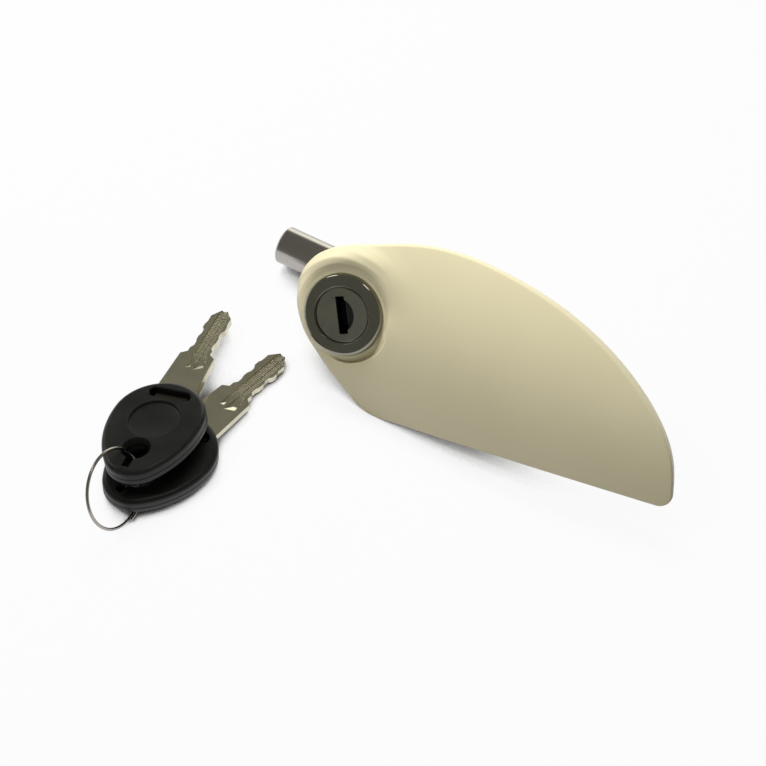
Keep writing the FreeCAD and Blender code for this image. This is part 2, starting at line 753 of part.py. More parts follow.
def barrel_seal():
    """A rubber ring of six-sided section, squeezed between the groove's floor and the boss's bore."""
    body = new_body("barrel_seal")
    profile = new_sketch(body, "XZ_Plane")
    inner = "barrel_radius + running_fit - 2 * seal_section + 0.02"
    outer = "barrel_radius + running_fit - 0.01"
    half = "seal_section - 0.03"
    draw_polygon(
        profile,
        (
            (inner, f"-seal_depth + 0.5 * ({half})"),
            ("barrel_radius - seal_section", f"-seal_depth + {half}"),
            (outer, f"-seal_depth + 0.5 * ({half})"),
            (outer, f"-seal_depth - 0.5 * ({half})"),
            ("barrel_radius - seal_section", f"-seal_depth - ({half})"),
            (inner, f"-seal_depth - 0.5 * ({half})"),
        ),
    )
    revolve(body, profile)
    return body


def barrel_clip():
    """A flat C-shaped clip in the housing's groove, under the boss's ledge."""
    level = "-clip_ledge_depth - clip_thickness - 0.02"
    disc = cylinder("clip_disc", "clip_radius", "clip_thickness", z=level)
    eye = cylinder("clip_eye", "clip_groove_radius + 0.05", "clip_thickness", z=level)
    mouth = box("clip_mouth", "clip_radius * 2", "clip_opening", "clip_thickness", x="-clip_radius", z=level)
    return cut("clip_finished", disc, fuse("clip_cuts", [eye, mouth]))


# Plug and what it carries


def plug():
    """The turning plug: keyway, shutter pocket, wafer slots, comb channel, square tail and screw hole."""
    body = new_body("plug")
    front = "-cap_front - cap_thickness"
    profile = new_sketch(body, "XY_Plane", "-barrel_depth")
    draw_circle(profile, "plug_radius")
    pad(body, profile, f"barrel_depth + ({front})")
    tail = new_sketch(body, "XY_Plane", "-barrel_depth")
    tail.AttachmentOffset = Placement(Vector(), Rotation(Vector(0, 0, 1), 1))
    tail.setExpression("AttachmentOffset.Rotation.Angle", bound("-keyway_lean"))
    draw_rectangle(tail, "-tail_width / 2", "tail_width / 2", "-tail_width / 2", "tail_width / 2")
    pad(body, tail, "tail_length", reverse=True)

    keyway = new_sketch(body, "XY_Plane", front)
    draw_rectangle(keyway, "-keyway_width / 2", "keyway_width / 2", "-keyway_height / 2", "keyway_height / 2")
    pocket(body, keyway, "wafer_first + wafer_pitch * wafer_count - 1.5")
    mouth = new_sketch(body, "XY_Plane", front)
    draw_rectangle(
        mouth, "-keyhole_width / 2", "keyhole_width / 2", "-keyhole_length / 2", "keyhole_length / 2"
    )
    pocket(body, mouth, "shutter_depth")

    shutter_room = new_sketch(body, "XY_Plane", front)
    free_edge = "shutter_pin_place - shutter_reach - 0.3"
    room = "shutter_pin_place + shutter_knuckle + 0.15"
    half = "shutter_length / 2 + 0.15"
    draw_rectangle(shutter_room, free_edge, room, f"-({half})", half)
    pocket(body, shutter_room, f"shutter_depth + shutter_reach + 0.5 + ({front})")

    pin_bore = new_sketch(body, "XZ_Plane")
    draw_circle(pin_bore, "shutter_pin_radius + 0.02", "shutter_pin_place", "-shutter_depth")
    pocket(body, pin_bore, "shutter_length + 1.6", midplane=True)

    slot = new_sketch(body, "XZ_Plane")
    half = "wafer_width / 2 + 0.05"
    level = "-wafer_first"
    thick = "wafer_thickness / 2 + 0.03"
    draw_rectangle(slot, f"-({half})", half, f"{level} - ({thick})", f"{level} + ({thick})")
    first = pocket(body, slot, "3 * plug_radius", midplane=True)
    linear_pattern(body, [first], "Z_Axis", "wafer_pitch * (wafer_count - 1)", "wafer_count")

    channel = new_sketch(body, "XY_Plane", "-wafer_first + wafer_thickness")
    draw_rectangle(
        channel,
        "wafer_window_width / 2 + 0.5",
        "comb_place + comb_thickness + 0.15",
        "-3.6",
        "0.9",
    )
    pocket(body, channel, "wafer_pitch * (wafer_count - 1) + 2 * wafer_thickness")

    screw_hole = new_sketch(body, "XY_Plane", "-barrel_depth - tail_length")
    draw_circle(screw_hole, "screw_radius + 0.02")
    pocket(body, screw_hole, "screw_length", reverse=True)
    return body


def plug_cap():
    """The face disc with its keyhole: a slot, and a round step beside it for the guard."""
    body = new_body("plug_cap")
    disc = new_sketch(body, "XY_Plane", "-cap_front")
    draw_circle(disc, "cap_radius")
    pad(body, disc, "cap_thickness", reverse=True)
    slot = new_sketch(body, "XY_Plane", "-cap_front")
    draw_rectangle(
        slot, "-keyhole_width / 2", "keyhole_width / 2", "-keyhole_length / 2", "keyhole_length / 2"
    )
    pocket(body, slot, "2 * cap_thickness")
    soften(
        body,
        "Chamfer",
        "cap_edge",
        lambda edge, middle: is_circle(edge, dim("cap_radius")) and middle.z > -dim("cap_front") - 0.01,
    )
    doc.recompute()
    shape = solid("cap_disc", body.Shape.copy())
    step = guard_block("cap_step", "guard_radius", "keyhole_width / 2 - 0.1", "2 * cap_thickness")
    return cut("cap_finished", shape, step)


def guard_block(name, radius, left, height):
    """The part of a round, centred behind the slot, that lies on the slot's right side."""
    round_part = cylinder(f"{name}_round", radius, height, x="-guard_shift", z="-cap_front - cap_thickness")
    right_half = box(
        f"{name}_half",
        "2 * guard_radius",
        "4 * guard_radius",
        height,
        x=f"{left} + guard_radius",
        z="-cap_front - cap_thickness",
    )
    return common(name, [round_part, right_half])


def keyway_guard():
    """A hard half-round insert beside the slot, sunk below the cap's face."""
    return guard_block("guard", "guard_radius - 0.02", "keyhole_width / 2", "cap_thickness - guard_sink")


def shutter_axis_cylinder(name, radius, length):
    return cylinder(
        name, radius, length, x="shutter_pin_place", y=f"-({length}) / 2", z="-shutter_depth", axis="y"
    )


def dust_shutter():
    """A flap across the keyway with a knuckle round its pin."""
    plate = box(
        "shutter_plate",
        "shutter_reach",
        "shutter_length",
        "shutter_thickness",
        x="shutter_pin_place - shutter_reach / 2",
        z="-shutter_depth - shutter_thickness / 2",
    )
    knuckle = shutter_axis_cylinder("shutter_knuckle_rod", "shutter_knuckle", "shutter_length")
    bore = shutter_axis_cylinder("shutter_bore", "shutter_pin_radius + running_fit", "shutter_length + 1")
    notch = box(
        "shutter_notch",
        "3 * shutter_knuckle",
        "1.6",
        "3 * shutter_knuckle",
        x="shutter_pin_place + 0.5 * shutter_knuckle",
        z="-shutter_depth - 1.5 * shutter_knuckle",
    )
    flap = fuse("shutter_flap", [plate, knuckle])
    return cut("shutter_finished", flap, fuse("shutter_cuts", [bore, notch]))


def shutter_pin():
    """The shutter's pin, its ends ground to the plug's round."""
    rod = shutter_axis_cylinder("shutter_rod", "shutter_pin_radius", "shutter_length + 1.4")
    envelope = cylinder("pin_envelope", "plug_radius", "2 * shutter_depth", z="-2 * shutter_depth")
    return common("shutter_pin_finished", [rod, envelope])


def shutter_spring():
    """A small torsion spring, drawn as its wound sleeve on the pin, with one leg on the pocket's wall."""
    sleeve = shutter_axis_cylinder("spring_sleeve", "shutter_pin_radius + 0.3", "1.2")
    eye = shutter_axis_cylinder("spring_eye", "shutter_pin_radius + 0.03", "2")
    leg = box(
        "spring_leg",
        "0.25",
        "0.3",
        "2.2",
        x="shutter_pin_place + shutter_pin_radius + 0.15",
        z="-shutter_depth - 2.4",
    )
    return cut("shutter_spring_finished", fuse("spring_solid", [sleeve, leg]), eye)


def wafer(number):
    """One wafer: rounded ends flush with the plug, a key window and a notch for its spring finger."""
    level = f"-wafer_first - wafer_pitch * {number} - wafer_thickness / 2"
    tag = f"wafer_{number + 1}"
    disc = cylinder(f"{tag}_disc", "plug_radius - 0.1", "wafer_thickness", z=level)
    strip = box(f"{tag}_strip", "wafer_width", "4 * plug_radius", "wafer_thickness", z=level)
    window = box(f"{tag}_window", "wafer_window_width", "wafer_window_height", "wafer_thickness", z=level)
    notch = box(
        f"{tag}_notch",
        "1.2",
        "2 * wafer_lift + 1.0",
        "wafer_thickness",
        x="wafer_width / 2",
        z=level,
    )
    blank = common(f"{tag}_blank", [disc, strip])
    return cut(f"{tag}_finished", blank, fuse(f"{tag}_cuts", [window, notch]))


def wafer_comb_spring():
    """A comb of spring sheet beside the wafers, with one finger in each wafer's notch."""
    back = box(
        "comb_back",
        "comb_thickness",
        "1",
        "wafer_pitch * (wafer_count - 1) + wafer_thickness",
        x="comb_place",
        y="-2.9",
        z="-wafer_first - wafer_pitch * (wafer_count - 1) - wafer_thickness / 2",
    )
    parts = [back]
    for number in range(int(dim("wafer_count"))):
        level = f"-wafer_first - wafer_pitch * {number} - 0.3"
        finger = {"x": "comb_place", "y": "-1.35", "z": level}
        tip = {"x": "comb_place - 0.35", "y": "0.1", "z": level}
        parts.append(box(f"comb_finger_{number}", "comb_thickness", "3.2", "0.6", **finger))
        parts.append(box(f"comb_tip_{number}", "1", "0.3", "0.6", **tip))
    return fuse("comb_finished", parts)


# Cam


def hook_cam():
    """A flat cam with a square hole; its arm ends in a hook on the side that leads into the keeper."""
    body = new_body("hook_cam")
    level = "-barrel_depth - 0.15 - cam_thickness"
    hub = new_sketch(body, "XY_Plane", level)
    draw_circle(hub, "cam_hub_radius")
    pad(body, hub, "cam_thickness")
    arm = new_sketch(body, "XY_Plane", level)
    half = "cam_width / 2"
    inner = "cam_reach - cam_hook_width"
    draw_polygon(
        arm,
        (
            ("0", f"-({half})"),
            ("cam_reach", f"-({half})"),
            ("cam_reach", f"{half} + cam_hook"),
            (inner, f"{half} + cam_hook"),
            (inner, half),
            ("0", half),
        ),
    )
    pad(body, arm, "cam_thickness")
    soften(
        body,
        "Fillet",
        "cam_hook_width / 3",
        lambda edge, middle: middle.x > 0.75 * dim("cam_reach") and is_upright(edge),
    )
    hole = new_sketch(body, "XY_Plane", level)
    size = "tail_width / 2 + running_fit"
    draw_rectangle(hole, f"-({size})", size, f"-({size})", size)
    pocket(body, hole, "cam_thickness", reverse=True)
    return body


def is_upright(edge):
    direction = edge.tangentAt(edge.FirstParameter)
    return abs(direction.z) > 0.99


def cam_washer():
    """A split spring washer under the screw's head."""
    level = "-barrel_depth - tail_length - washer_thickness - 0.02"
    disc = cylinder("washer_disc", "washer_radius", "washer_thickness", z=level)
    eye = cylinder("washer_eye", "screw_radius + 0.1", "washer_thickness", z=level)
    split = box("washer_split", "2 * washer_radius", "0.6", "washer_thickness", x="-washer_radius", z=level)
    return cut("washer_finished", disc, fuse("washer_cuts", [eye, split]))


def cam_screw():
    """A pan-head screw in the plug's tail, with a cross recess."""
    head_top = "-barrel_depth - tail_length - washer_thickness - 0.05"
    shank = cylinder("screw_shank", "screw_radius", "screw_length", z=f"{head_top} - 0.1")
    end = f"{head_top} - screw_head_height"
    head = cylinder("screw_head", "screw_head_radius", "screw_head_height", z=end)
    slots = []
    for name, length, width in (("along", "3.2", "0.8"), ("across", "0.8", "3.2")):
        slots.append(box(f"recess_{name}", length, width, "0.8", z=end))
    return cut("screw_finished", fuse("screw_solid", [shank, head]), fuse("screw_recess", slots))


# Keys

# Depth of the cuts along each side of the blade, in steps, from the shoulder to the tip.
KEY_CUTS = (0, 2, 1, 2, 0, 1)
CUT_STEP = 0.35


def blade_side():
    """Corners of one side of the bitted blade, from the shoulder to the tip: a flat and a slope per cut."""
    half = dim("key_blade_width") / 2
    pitch = dim("key_cut_pitch")
    start = dim("key_shoulder") + 1.2
    corners = []
    for number, depth in enumerate(KEY_CUTS):
        y = start + number * pitch
        x = half - depth * CUT_STEP
        corners.append(Vector(x, y, 0))
        corners.append(Vector(x, y + 0.55 * pitch, 0))
    corners.append(Vector(half - 0.3, start + len(KEY_CUTS) * pitch, 0))
    corners.append(Vector(0.8, dim("key_length"), 0))
    return corners


def key_blade():
    """The steel blank: tang in the head, shank with shoulders, bitted blade with flutes either side."""
    shoulder = dim("key_shoulder")
    half_shank = dim("key_shank_width") / 2
    half_tang = half_shank - dim("key_tang_inset")
    right = [
        Vector(half_tang, -dim("key_tang_reach"), 0),
        Vector(half_tang, dim("window_place") - 2, 0),
        Vector(dim("key_shank_root") / 2, dim("head_front") - 2, 0),
        Vector(half_shank, shoulder, 0),
    ]
    right += blade_side()
    left = [Vector(-corner.x, corner.y, 0) for corner in reversed(right)]
    thickness = dim("key_blade_thickness")
    outline = Part.makePolygon(right + left + right[:1])
    blank = Part.Face(outline).extrude(Vector(0, 0, thickness))
    blank.translate(Vector(0, 0, -thickness / 2))
    flutes = []
    for side in (-1, 1):
        for face in (-1, 1):
            flutes.append(flute(side, face))
    return blank.cut(flutes)


def flute(side, face):
    """A groove from near the shoulder to the tip, with a sloping run-out."""
    width = dim("key_flute_width")
    depth = dim("key_flute_depth")
    surface = dim("key_blade_thickness") / 2
    start = dim("key_shoulder") - 2.5
    corners = [
        Vector(0, start, surface),
        Vector(0, start + 2.4, surface - depth),
        Vector(0, dim("key_length") + 1, surface - depth),
        Vector(0, dim("key_length") + 1, surface + 1),
        Vector(0, start, surface + 1),
    ]
    groove = Part.Face(Part.makePolygon(corners + corners[:1])).extrude(Vector(width, 0, 0))
    groove.translate(Vector(0.35 if side > 0 else -0.35 - width, 0, 0))
    if face < 0:
        groove.rotate(Vector(), Vector(0, 1, 0), 180)
    return groove


def head_outline(level):
    """An egg of four tangent arcs: a wide front round, a narrow back round, two long sides."""
    front = dim("head_half_width")
    back = dim("head_back_radius")
    side = dim("head_side_radius")
    front_y = dim("head_front") - front
    back_y = back - dim("head_back")
    # The side's centre is side - front from the front centre and side - back from the back centre.
    reach_gap = (side - back) ** 2 - (side - front) ** 2
    side_y = (reach_gap + front_y**2 - back_y**2) / (2 * (front_y - back_y))
    side_x = math.sqrt((side - front) ** 2 - (side_y - front_y) ** 2)

    def joint(centre_y, radius):
        """Where a side touches a round: on the line through both centres."""
        away = Vector(side_x, centre_y - side_y, 0).normalize()
        return Vector(0, centre_y, 0) + away * radius

    front_joint = joint(front_y, front)
    back_joint = joint(back_y, back)
    side_point = Vector(side - side_x, side_y, 0)

    def mirrored(point):
        return Vector(-point.x, point.y, 0)

    arcs = [
        Part.Arc(mirrored(front_joint), Vector(0, dim("head_front"), 0), front_joint),
        Part.Arc(front_joint, side_point, back_joint),
        Part.Arc(back_joint, Vector(0, -dim("head_back"), 0), mirrored(back_joint)),
        Part.Arc(mirrored(back_joint), mirrored(side_point), mirrored(front_joint)),
    ]
    wire = Part.Wire([arc.toShape() for arc in arcs])
    wire.translate(Vector(0, 0, level))
    return wire


def key_head():
    """The moulded head: rounded edges, round recess, ring hole, oval window and the blade's pocket."""
    thickness = dim("head_thickness")
    slab = Part.Face(head_outline(-thickness / 2)).extrude(Vector(0, 0, thickness))
    rims = [edge for edge in slab.Edges if not is_upright(edge)]
    head = slab.makeChamfer(dim("head_edge"), rims)
    sink = dim("disc_sink")
    cuts = []
    for face in (-1, 1):
        floor = Vector(0, 0, face * (thickness / 2 - sink))
        cuts.append(Part.makeCylinder(dim("disc_radius"), sink + 1, floor, Vector(0, 0, face)))
    hole = dim("ring_hole_radius")
    flare = dim("ring_hole_flare")
    centre = Vector(0, -dim("ring_hole_place"), -thickness)
    cuts.append(Part.makeCylinder(hole, 2 * thickness, centre))
    for face in (-1, 1):
        foot = Vector(0, -dim("ring_hole_place"), face * (thickness / 2 - flare))
        cuts.append(Part.makeCone(hole, hole + 2 * flare, 2 * flare, foot, Vector(0, 0, face)))
    cuts.append(oval_window(thickness))
    head = head.cut(cuts)
    gap = dim("blade_seat_gap")
    pocket_shape = key_blade_pocket(gap)
    return head.cut(pocket_shape)


def oval_window(thickness):
    """A slot with round ends across the head, through both faces."""
    half = (dim("window_length") - dim("window_width")) / 2
    radius = dim("window_width") / 2
    y = dim("window_place")
    low = -thickness
    middle = Part.makeBox(2 * half, 2 * radius, 2 * thickness, Vector(-half, y - radius, low))
    ends = [Part.makeCylinder(radius, 2 * thickness, Vector(side * half, y, low)) for side in (-1, 1)]
    return middle.fuse(ends)


def key_blade_pocket(gap):
    """The blade's tang grown by the seat gap."""
    root = dim("key_shank_root") / 2 + gap
    tang = dim("key_shank_width") / 2 - dim("key_tang_inset") + gap
    corners = [
        Vector(tang, -dim("key_tang_reach") - gap, 0),
        Vector(tang, dim("window_place") - 2, 0),
        Vector(root, dim("head_front") - 2, 0),
        Vector(root, dim("head_front") + 2, 0),
    ]
    corners += [Vector(-corner.x, corner.y, 0) for corner in reversed(corners)]
    thickness = dim("key_blade_thickness") + 2 * gap
    outline = Part.makePolygon(corners + corners[:1])
    block = Part.Face(outline).extrude(Vector(0, 0, thickness))
    block.translate(Vector(0, 0, -thickness / 2))
    return block


def key_ring():
    """A closed ring of thin wire, its section an octagon."""
    body = new_body("key_ring")
    profile = new_sketch(body, "XZ_Plane")
    corners = []
    for number in range(8):
        angle = 45 * number + 22.5
        corners.append((f"ring_radius + ring_wire * cos({angle})", f"ring_wire * sin({angle})"))
    draw_polygon(profile, corners)
    revolve(body, profile)
    return body


# Assembly

node(leaf_handle(), "leaf_handle", lock_frame)
node(drive_shaft(), "drive_shaft", lock_frame)
node(shaft_pin(), "shaft_pin", lock_frame)
node(barrel_housing(), "barrel_housing", plug_frame)
node(bezel_ring(), "bezel_ring", lock_frame)
node(barrel_seal(), "barrel_seal", lock_frame)
node(barrel_clip(), "barrel_clip", lock_frame)
node(plug(), "plug", plug_frame)
node(plug_cap(), "plug_cap", plug_frame)
node(keyway_guard(), "keyway_guard", plug_frame)
node(dust_shutter(), "dust_shutter", plug_frame)
node(shutter_pin(), "shutter_pin", plug_frame)
node(shutter_spring(), "shutter_spring", plug_frame)
for index in range(int(dim("wafer_count"))):
    node(wafer(index), f"wafer_{index + 1}", plug_frame)
node(wafer_comb_spring(), "wafer_comb_spring", plug_frame)
node(hook_cam(), "hook_cam", lock_frame)
node(cam_washer(), "cam_washer", lock_frame)
node(cam_screw(), "cam_screw", lock_frame)
for name, frame in (("lower", lower_key_frame), ("upper", upper_key_frame)):
    node(solid(f"{name}_blade", key_blade()), f"{name}_key_blade", frame)
    node(solid(f"{name}_head", key_head()), f"{name}_key_head", frame)
node(key_ring(), "key_ring", ring_frame)

doc.recompute()
for feature in doc.Objects:
    if "Invalid" in feature.State or "Error" in feature.State:
        raise RuntimeError(f"{feature.Name} did not recompute")
for feature in nodes:
    if feature.Shape.isNull() or not feature.Shape.isValid():
        raise RuntimeError(f"{feature.Label} has no valid shape")

os.makedirs("parts", exist_ok=True)
for feature in nodes:
    feature.Shape.exportStep(f"parts/{feature.Label}.step")
    print(feature.Label, len(feature.Shape.Solids), round(feature.Shape.Volume, 1))
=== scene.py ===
"""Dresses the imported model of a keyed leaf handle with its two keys, in metres and in the model's frame."""

import math

import bpy
import numpy as np
from bpy.props import FloatProperty, FloatVectorProperty, IntProperty, PointerProperty
from mathutils import Matrix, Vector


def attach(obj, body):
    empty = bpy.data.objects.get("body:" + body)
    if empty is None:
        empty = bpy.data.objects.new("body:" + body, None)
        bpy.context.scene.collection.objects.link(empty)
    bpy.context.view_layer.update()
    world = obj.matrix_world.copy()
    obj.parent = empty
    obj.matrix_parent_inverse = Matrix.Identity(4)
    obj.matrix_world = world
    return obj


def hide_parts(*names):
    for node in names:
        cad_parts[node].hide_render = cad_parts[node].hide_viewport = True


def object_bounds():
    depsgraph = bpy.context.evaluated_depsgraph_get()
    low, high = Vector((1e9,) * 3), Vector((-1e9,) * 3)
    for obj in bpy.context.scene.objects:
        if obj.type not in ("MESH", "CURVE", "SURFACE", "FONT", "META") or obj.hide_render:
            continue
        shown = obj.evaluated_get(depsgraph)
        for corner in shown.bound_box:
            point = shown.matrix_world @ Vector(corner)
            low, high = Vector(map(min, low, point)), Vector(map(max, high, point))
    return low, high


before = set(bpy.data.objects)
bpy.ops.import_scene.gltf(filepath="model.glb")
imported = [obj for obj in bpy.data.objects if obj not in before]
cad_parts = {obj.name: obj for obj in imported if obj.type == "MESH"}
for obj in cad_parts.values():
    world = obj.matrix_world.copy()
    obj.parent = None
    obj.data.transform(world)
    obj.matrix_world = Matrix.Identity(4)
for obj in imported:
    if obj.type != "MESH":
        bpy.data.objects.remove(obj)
CAD_BOX = [list(corner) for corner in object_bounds()]

bl_info = {
    "name": "Keyed leaf handle",
    "version": (1, 0, 0),
    "blender": (4, 5, 0),
    "location": "View3D > Sidebar > Handle",
    "description": "Leaf handle with cam lock, drive shaft and keys, built on its packed model",
    "category": "Object",
}

MM = 0.001


# Settings


def length(name, text, value):
    """A length setting; its value is given in mm."""
    return FloatProperty(name=name, description=text, default=value * MM, unit="LENGTH", precision=4)


def colour(name, text, value):
    """A colour setting from red, green and blue."""
    return FloatVectorProperty(
        name=name, description=text, default=(*value, 1.0), subtype="COLOR", size=4, min=0.0, max=1.0
    )


def angle(name, text, degrees):
    """An angle setting; its value is given in degrees."""
    return FloatProperty(name=name, description=text, default=math.radians(degrees), subtype="ANGLE")


class LeafSettings(bpy.types.PropertyGroup):
    """The moulded leaf."""

    rim_depth: length("Rim depth", "Back edge of the rim behind the barrel's face", 7.5)
    wall: length("Wall", "Thickness of shell and rim", 2.5)
    edge: length("Edge", "Rounding between the face and the rim", 0.7)
    crown_height: length("Crown", "Top of the crowned face before the barrel's face", 0.8)
    crown_long: length("Long radius", "Curve of the face along the leaf", 285.0)
    crown_cross: length("Cross radius", "Curve of the face across the leaf", 57.0)
    pad_radius: length("Pad", "Radius of the flat under the bezel", 11.3)
    pad_step: length("Pad step", "Width of the rounding round the flat", 0.6)
    pad_sink: length("Pad depth", "Pad behind the barrel's face", 1.7)
    tone: colour("Tone", "Ivory of the moulding", (0.70, 0.635, 0.42))
    shade: colour("Shade", "Warmer tone in the moulding's mottling", (0.665, 0.60, 0.39))


class BarrelSettings(bpy.types.PropertyGroup):
    """Bezel, cap and keyhole."""

    bezel_radius: length("Bezel", "Outside of the bezel", 11.0)
    shoulder: length("Shoulder", "Width of the bezel's rounded shoulder", 1.05)
    bezel_bore: length("Bezel bore", "Opening of the bezel", 7.65)
    cap_radius: length("Cap", "Radius of the plug's cap", 7.4)
    slot_length: length("Slot length", "Keyhole along the slot", 10.0)
    slot_width: length("Slot width", "Keyhole across the slot", 2.4)
    chrome: colour("Chrome", "Polished bezel", (0.28, 0.275, 0.23))
    cap: colour("Cap", "Satin face of the plug", (0.35, 0.35, 0.29))
    guard: colour("Guard", "Dark insert beside the slot", (0.05, 0.055, 0.055))


class ShaftSettings(bpy.types.PropertyGroup):
    """The drive shaft."""

    radius: length("Radius", "Radius of the shaft", 5.5)
    seat_radius: length("Seat radius", "Turned-down seat of the shaft in the socket", 5.0)
    shoulder: length("Shoulder", "From the free end to the shoulder before the socket", 25.4)
    end: length("End", "Far end of the shaft in the socket", 52.9)
    bevel: length("Bevel", "Turned edge of the free end", 0.5)
    steel: colour("Steel", "Drawn bar", (0.47, 0.445, 0.42))


class KeySettings(bpy.types.PropertyGroup):
    """Both keys."""

    half_width: length("Half width", "Half the head's width", 12.3)
    front: length("Front", "Head before the middle of its disc", 14.0)
    back: length("Back", "Head behind the middle of its disc", 18.9)
    thickness: length("Thickness", "Head", 5.2)
    edge: length("Edge", "Rounding of the head", 1.35)
    disc: length("Disc", "Radius of the round recess", 6.6)
    hole: length("Ring hole", "Radius of the ring hole", 3.1)
    blade: length("Blade", "Width of the bitted blade", 6.6)
    steel: colour("Blade metal", "Nickel silver", (0.72, 0.68, 0.53))
    plastic: colour("Head", "Black moulding", (0.006, 0.006, 0.0055))


class RingSettings(bpy.types.PropertyGroup):
    """The wire ring."""

    radius: length("Radius", "To the middle of the wire", 9.96)
    wire: length("Wire", "Radius of the wire", 0.4)
    steel: colour("Wire", "Drawn wire", (0.42, 0.39, 0.37))


class StageSettings(bpy.types.PropertyGroup):
    """Camera, lamps and floor."""

    turn: angle("Turn", "Camera round the object", 23.3127)
    rise: angle("Rise", "Camera above the table", 53.1833)
    roll: angle("Roll", "Camera about its own axis", 6.6754)
    distance: length("Distance", "Camera to the barrel's face", 331.45)
    lens: FloatProperty(name="Lens", description="Focal length in millimetres", default=60.0156)
    column: FloatProperty(name="Column", description="Barrel's place from the left, pixels", default=341.06)
    row: FloatProperty(name="Row", description="Barrel's place from the top, pixels", default=315.52)
    width: IntProperty(name="Width", description="Picture's side in pixels", default=766)
    floor: colour("Floor", "Pale floor", (0.50, 0.50, 0.497))


# Frames of the pieces, in millimetres: origin and axes as columns


def turn_about(axis, degrees):
    """The rotation matrix about one coordinate axis."""
    c, s = math.cos(math.radians(degrees)), math.sin(math.radians(degrees))
    table = {
        "x": ((1, 0, 0), (0, c, -s), (0, s, c)),
        "y": ((c, 0, s), (0, 1, 0), (-s, 0, c)),
        "z": ((c, -s, 0), (s, c, 0), (0, 0, 1)),
    }
    return np.array(table[axis], float)


TILT = 34.2
LOCK = (np.array((33.4, -26.7556, 16.6718)), turn_about("x", 90 - TILT))
PLUG = (LOCK[0], LOCK[1] @ turn_about("z", 27.5))
LOWER_KEY = (np.array((10.7, -75.56, -4.0512)), turn_about("z", -9.9) @ turn_about("x", -3.2))
UPPER_KEY = (
    np.array((6.29, -72.77, 2.65)),
    turn_about("z", 10.15) @ turn_about("x", -7.37) @ turn_about("y", -9.21),
)
RING = (np.array((8.10, -93.03, 2.05)), turn_about("z", 188.2) @ turn_about("y", 90 + 23.8))


def placed(points, where):
    """Points of a piece's own frame, in mm, as metres of the model's frame: origin plus axes times point."""
    origin, axes = where
    return (origin + points @ axes.T) * MM


# Surfaces

# In mm: points of an outline nearer than this are one, and a turned form starts this far from its axis.
SAME_POINT, SKIN = 1e-5, 0.02


def smoothstep(value, low, high):
    """3t^2 - 2t^3 of the share t of the way from low to high."""
    t = np.clip((value - low) / (high - low), 0, 1)
    return t * t * (3 - 2 * t)


def grid_faces(rows, columns, closed_rows, closed_columns):
    """Corner numbers of a rows by columns grid's quads; a closed way joins its last line to its first."""
    i = np.arange(rows if closed_rows else rows - 1)[:, None]
    j = np.arange(columns if closed_columns else columns - 1)[None, :]
    i2, j2 = (i + 1) % rows, (j + 1) % columns
    corners = (i * columns + j, i2 * columns + j, i2 * columns + j2, i * columns + j2)
    return np.stack(np.broadcast_arrays(*corners), -1).reshape(-1, 4)


def turned_outward(points, faces):
    """The face arrays, turned round where the volume that they enclose, summed by triangles, is negative."""
    origin = points[faces[0][0, 0]]
    volume = 0.0
    for face in faces:
        for k in range(1, face.shape[1] - 1):
            a, b, c = (points[face[:, corner]] - origin for corner in (0, k, k + 1))
            volume += np.einsum("ij,ij->i", a, np.cross(b, c)).sum()
    return [face[:, ::-1] for face in faces] if volume < 0 else faces


def make_mesh(name, points, faces, sharp=35.0):
    """A mesh from an array of points and a list of face arrays; edges over sharp degrees stay hard."""
    faces = turned_outward(points, faces)
    loops = np.concatenate([face.ravel() for face in faces])
    sizes = np.concatenate([np.full(len(face), face.shape[1]) for face in faces])
    starts = np.concatenate([[0], np.cumsum(sizes)[:-1]])
    mesh = bpy.data.meshes.new(name)
    mesh.vertices.add(len(points))
    mesh.vertices.foreach_set("co", points.astype(np.float32).ravel())
    mesh.loops.add(len(loops))
    mesh.loops.foreach_set("vertex_index", loops.astype(np.int32))
    mesh.polygons.add(len(sizes))
    mesh.polygons.foreach_set("loop_start", starts.astype(np.int32))
    mesh.polygons.foreach_set("use_smooth", np.ones(len(sizes), bool))
    mesh.update(calc_edges=True)
    mesh.validate()
    mesh.set_sharp_from_angle(angle=math.radians(sharp))
    return mesh


def add_object(name, data):
    """Puts a mesh, a camera or a lamp in the scene."""
    item = bpy.data.objects.new(name, data)
    bpy.context.scene.collection.objects.link(item)
    return item


def new_piece(name, mesh, body, material, replaced=()):
    """Puts a mesh in the scene, on its body, with its finish."""
    piece = add_object(name, mesh)
    mesh.materials.clear()
    mesh.materials.append(material)
    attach(piece, body)
    if replaced:
        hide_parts(*replaced)
    return piece


def swept(name, sections, where, closed=True, sharp=35.0):
    """A tube of stations by points by 3, in mm. An open one is closed by a fan from each end's middle."""
    stations, around, _ = sections.shape
    points = sections.reshape(-1, 3)
    faces = [grid_faces(stations, around, closed, True)]
    if not closed:
        first = np.arange(around)
        last = first + (stations - 1) * around
        middle = np.full(around, len(points))
        faces.append(np.stack([middle, np.roll(first, -1), first], 1))
        faces.append(np.stack([middle + 1, last, np.roll(last, -1)], 1))
        points = np.concatenate([points, np.array([sections[0].mean(0), sections[-1].mean(0)])])
    return make_mesh(name, placed(points, where), faces, sharp)


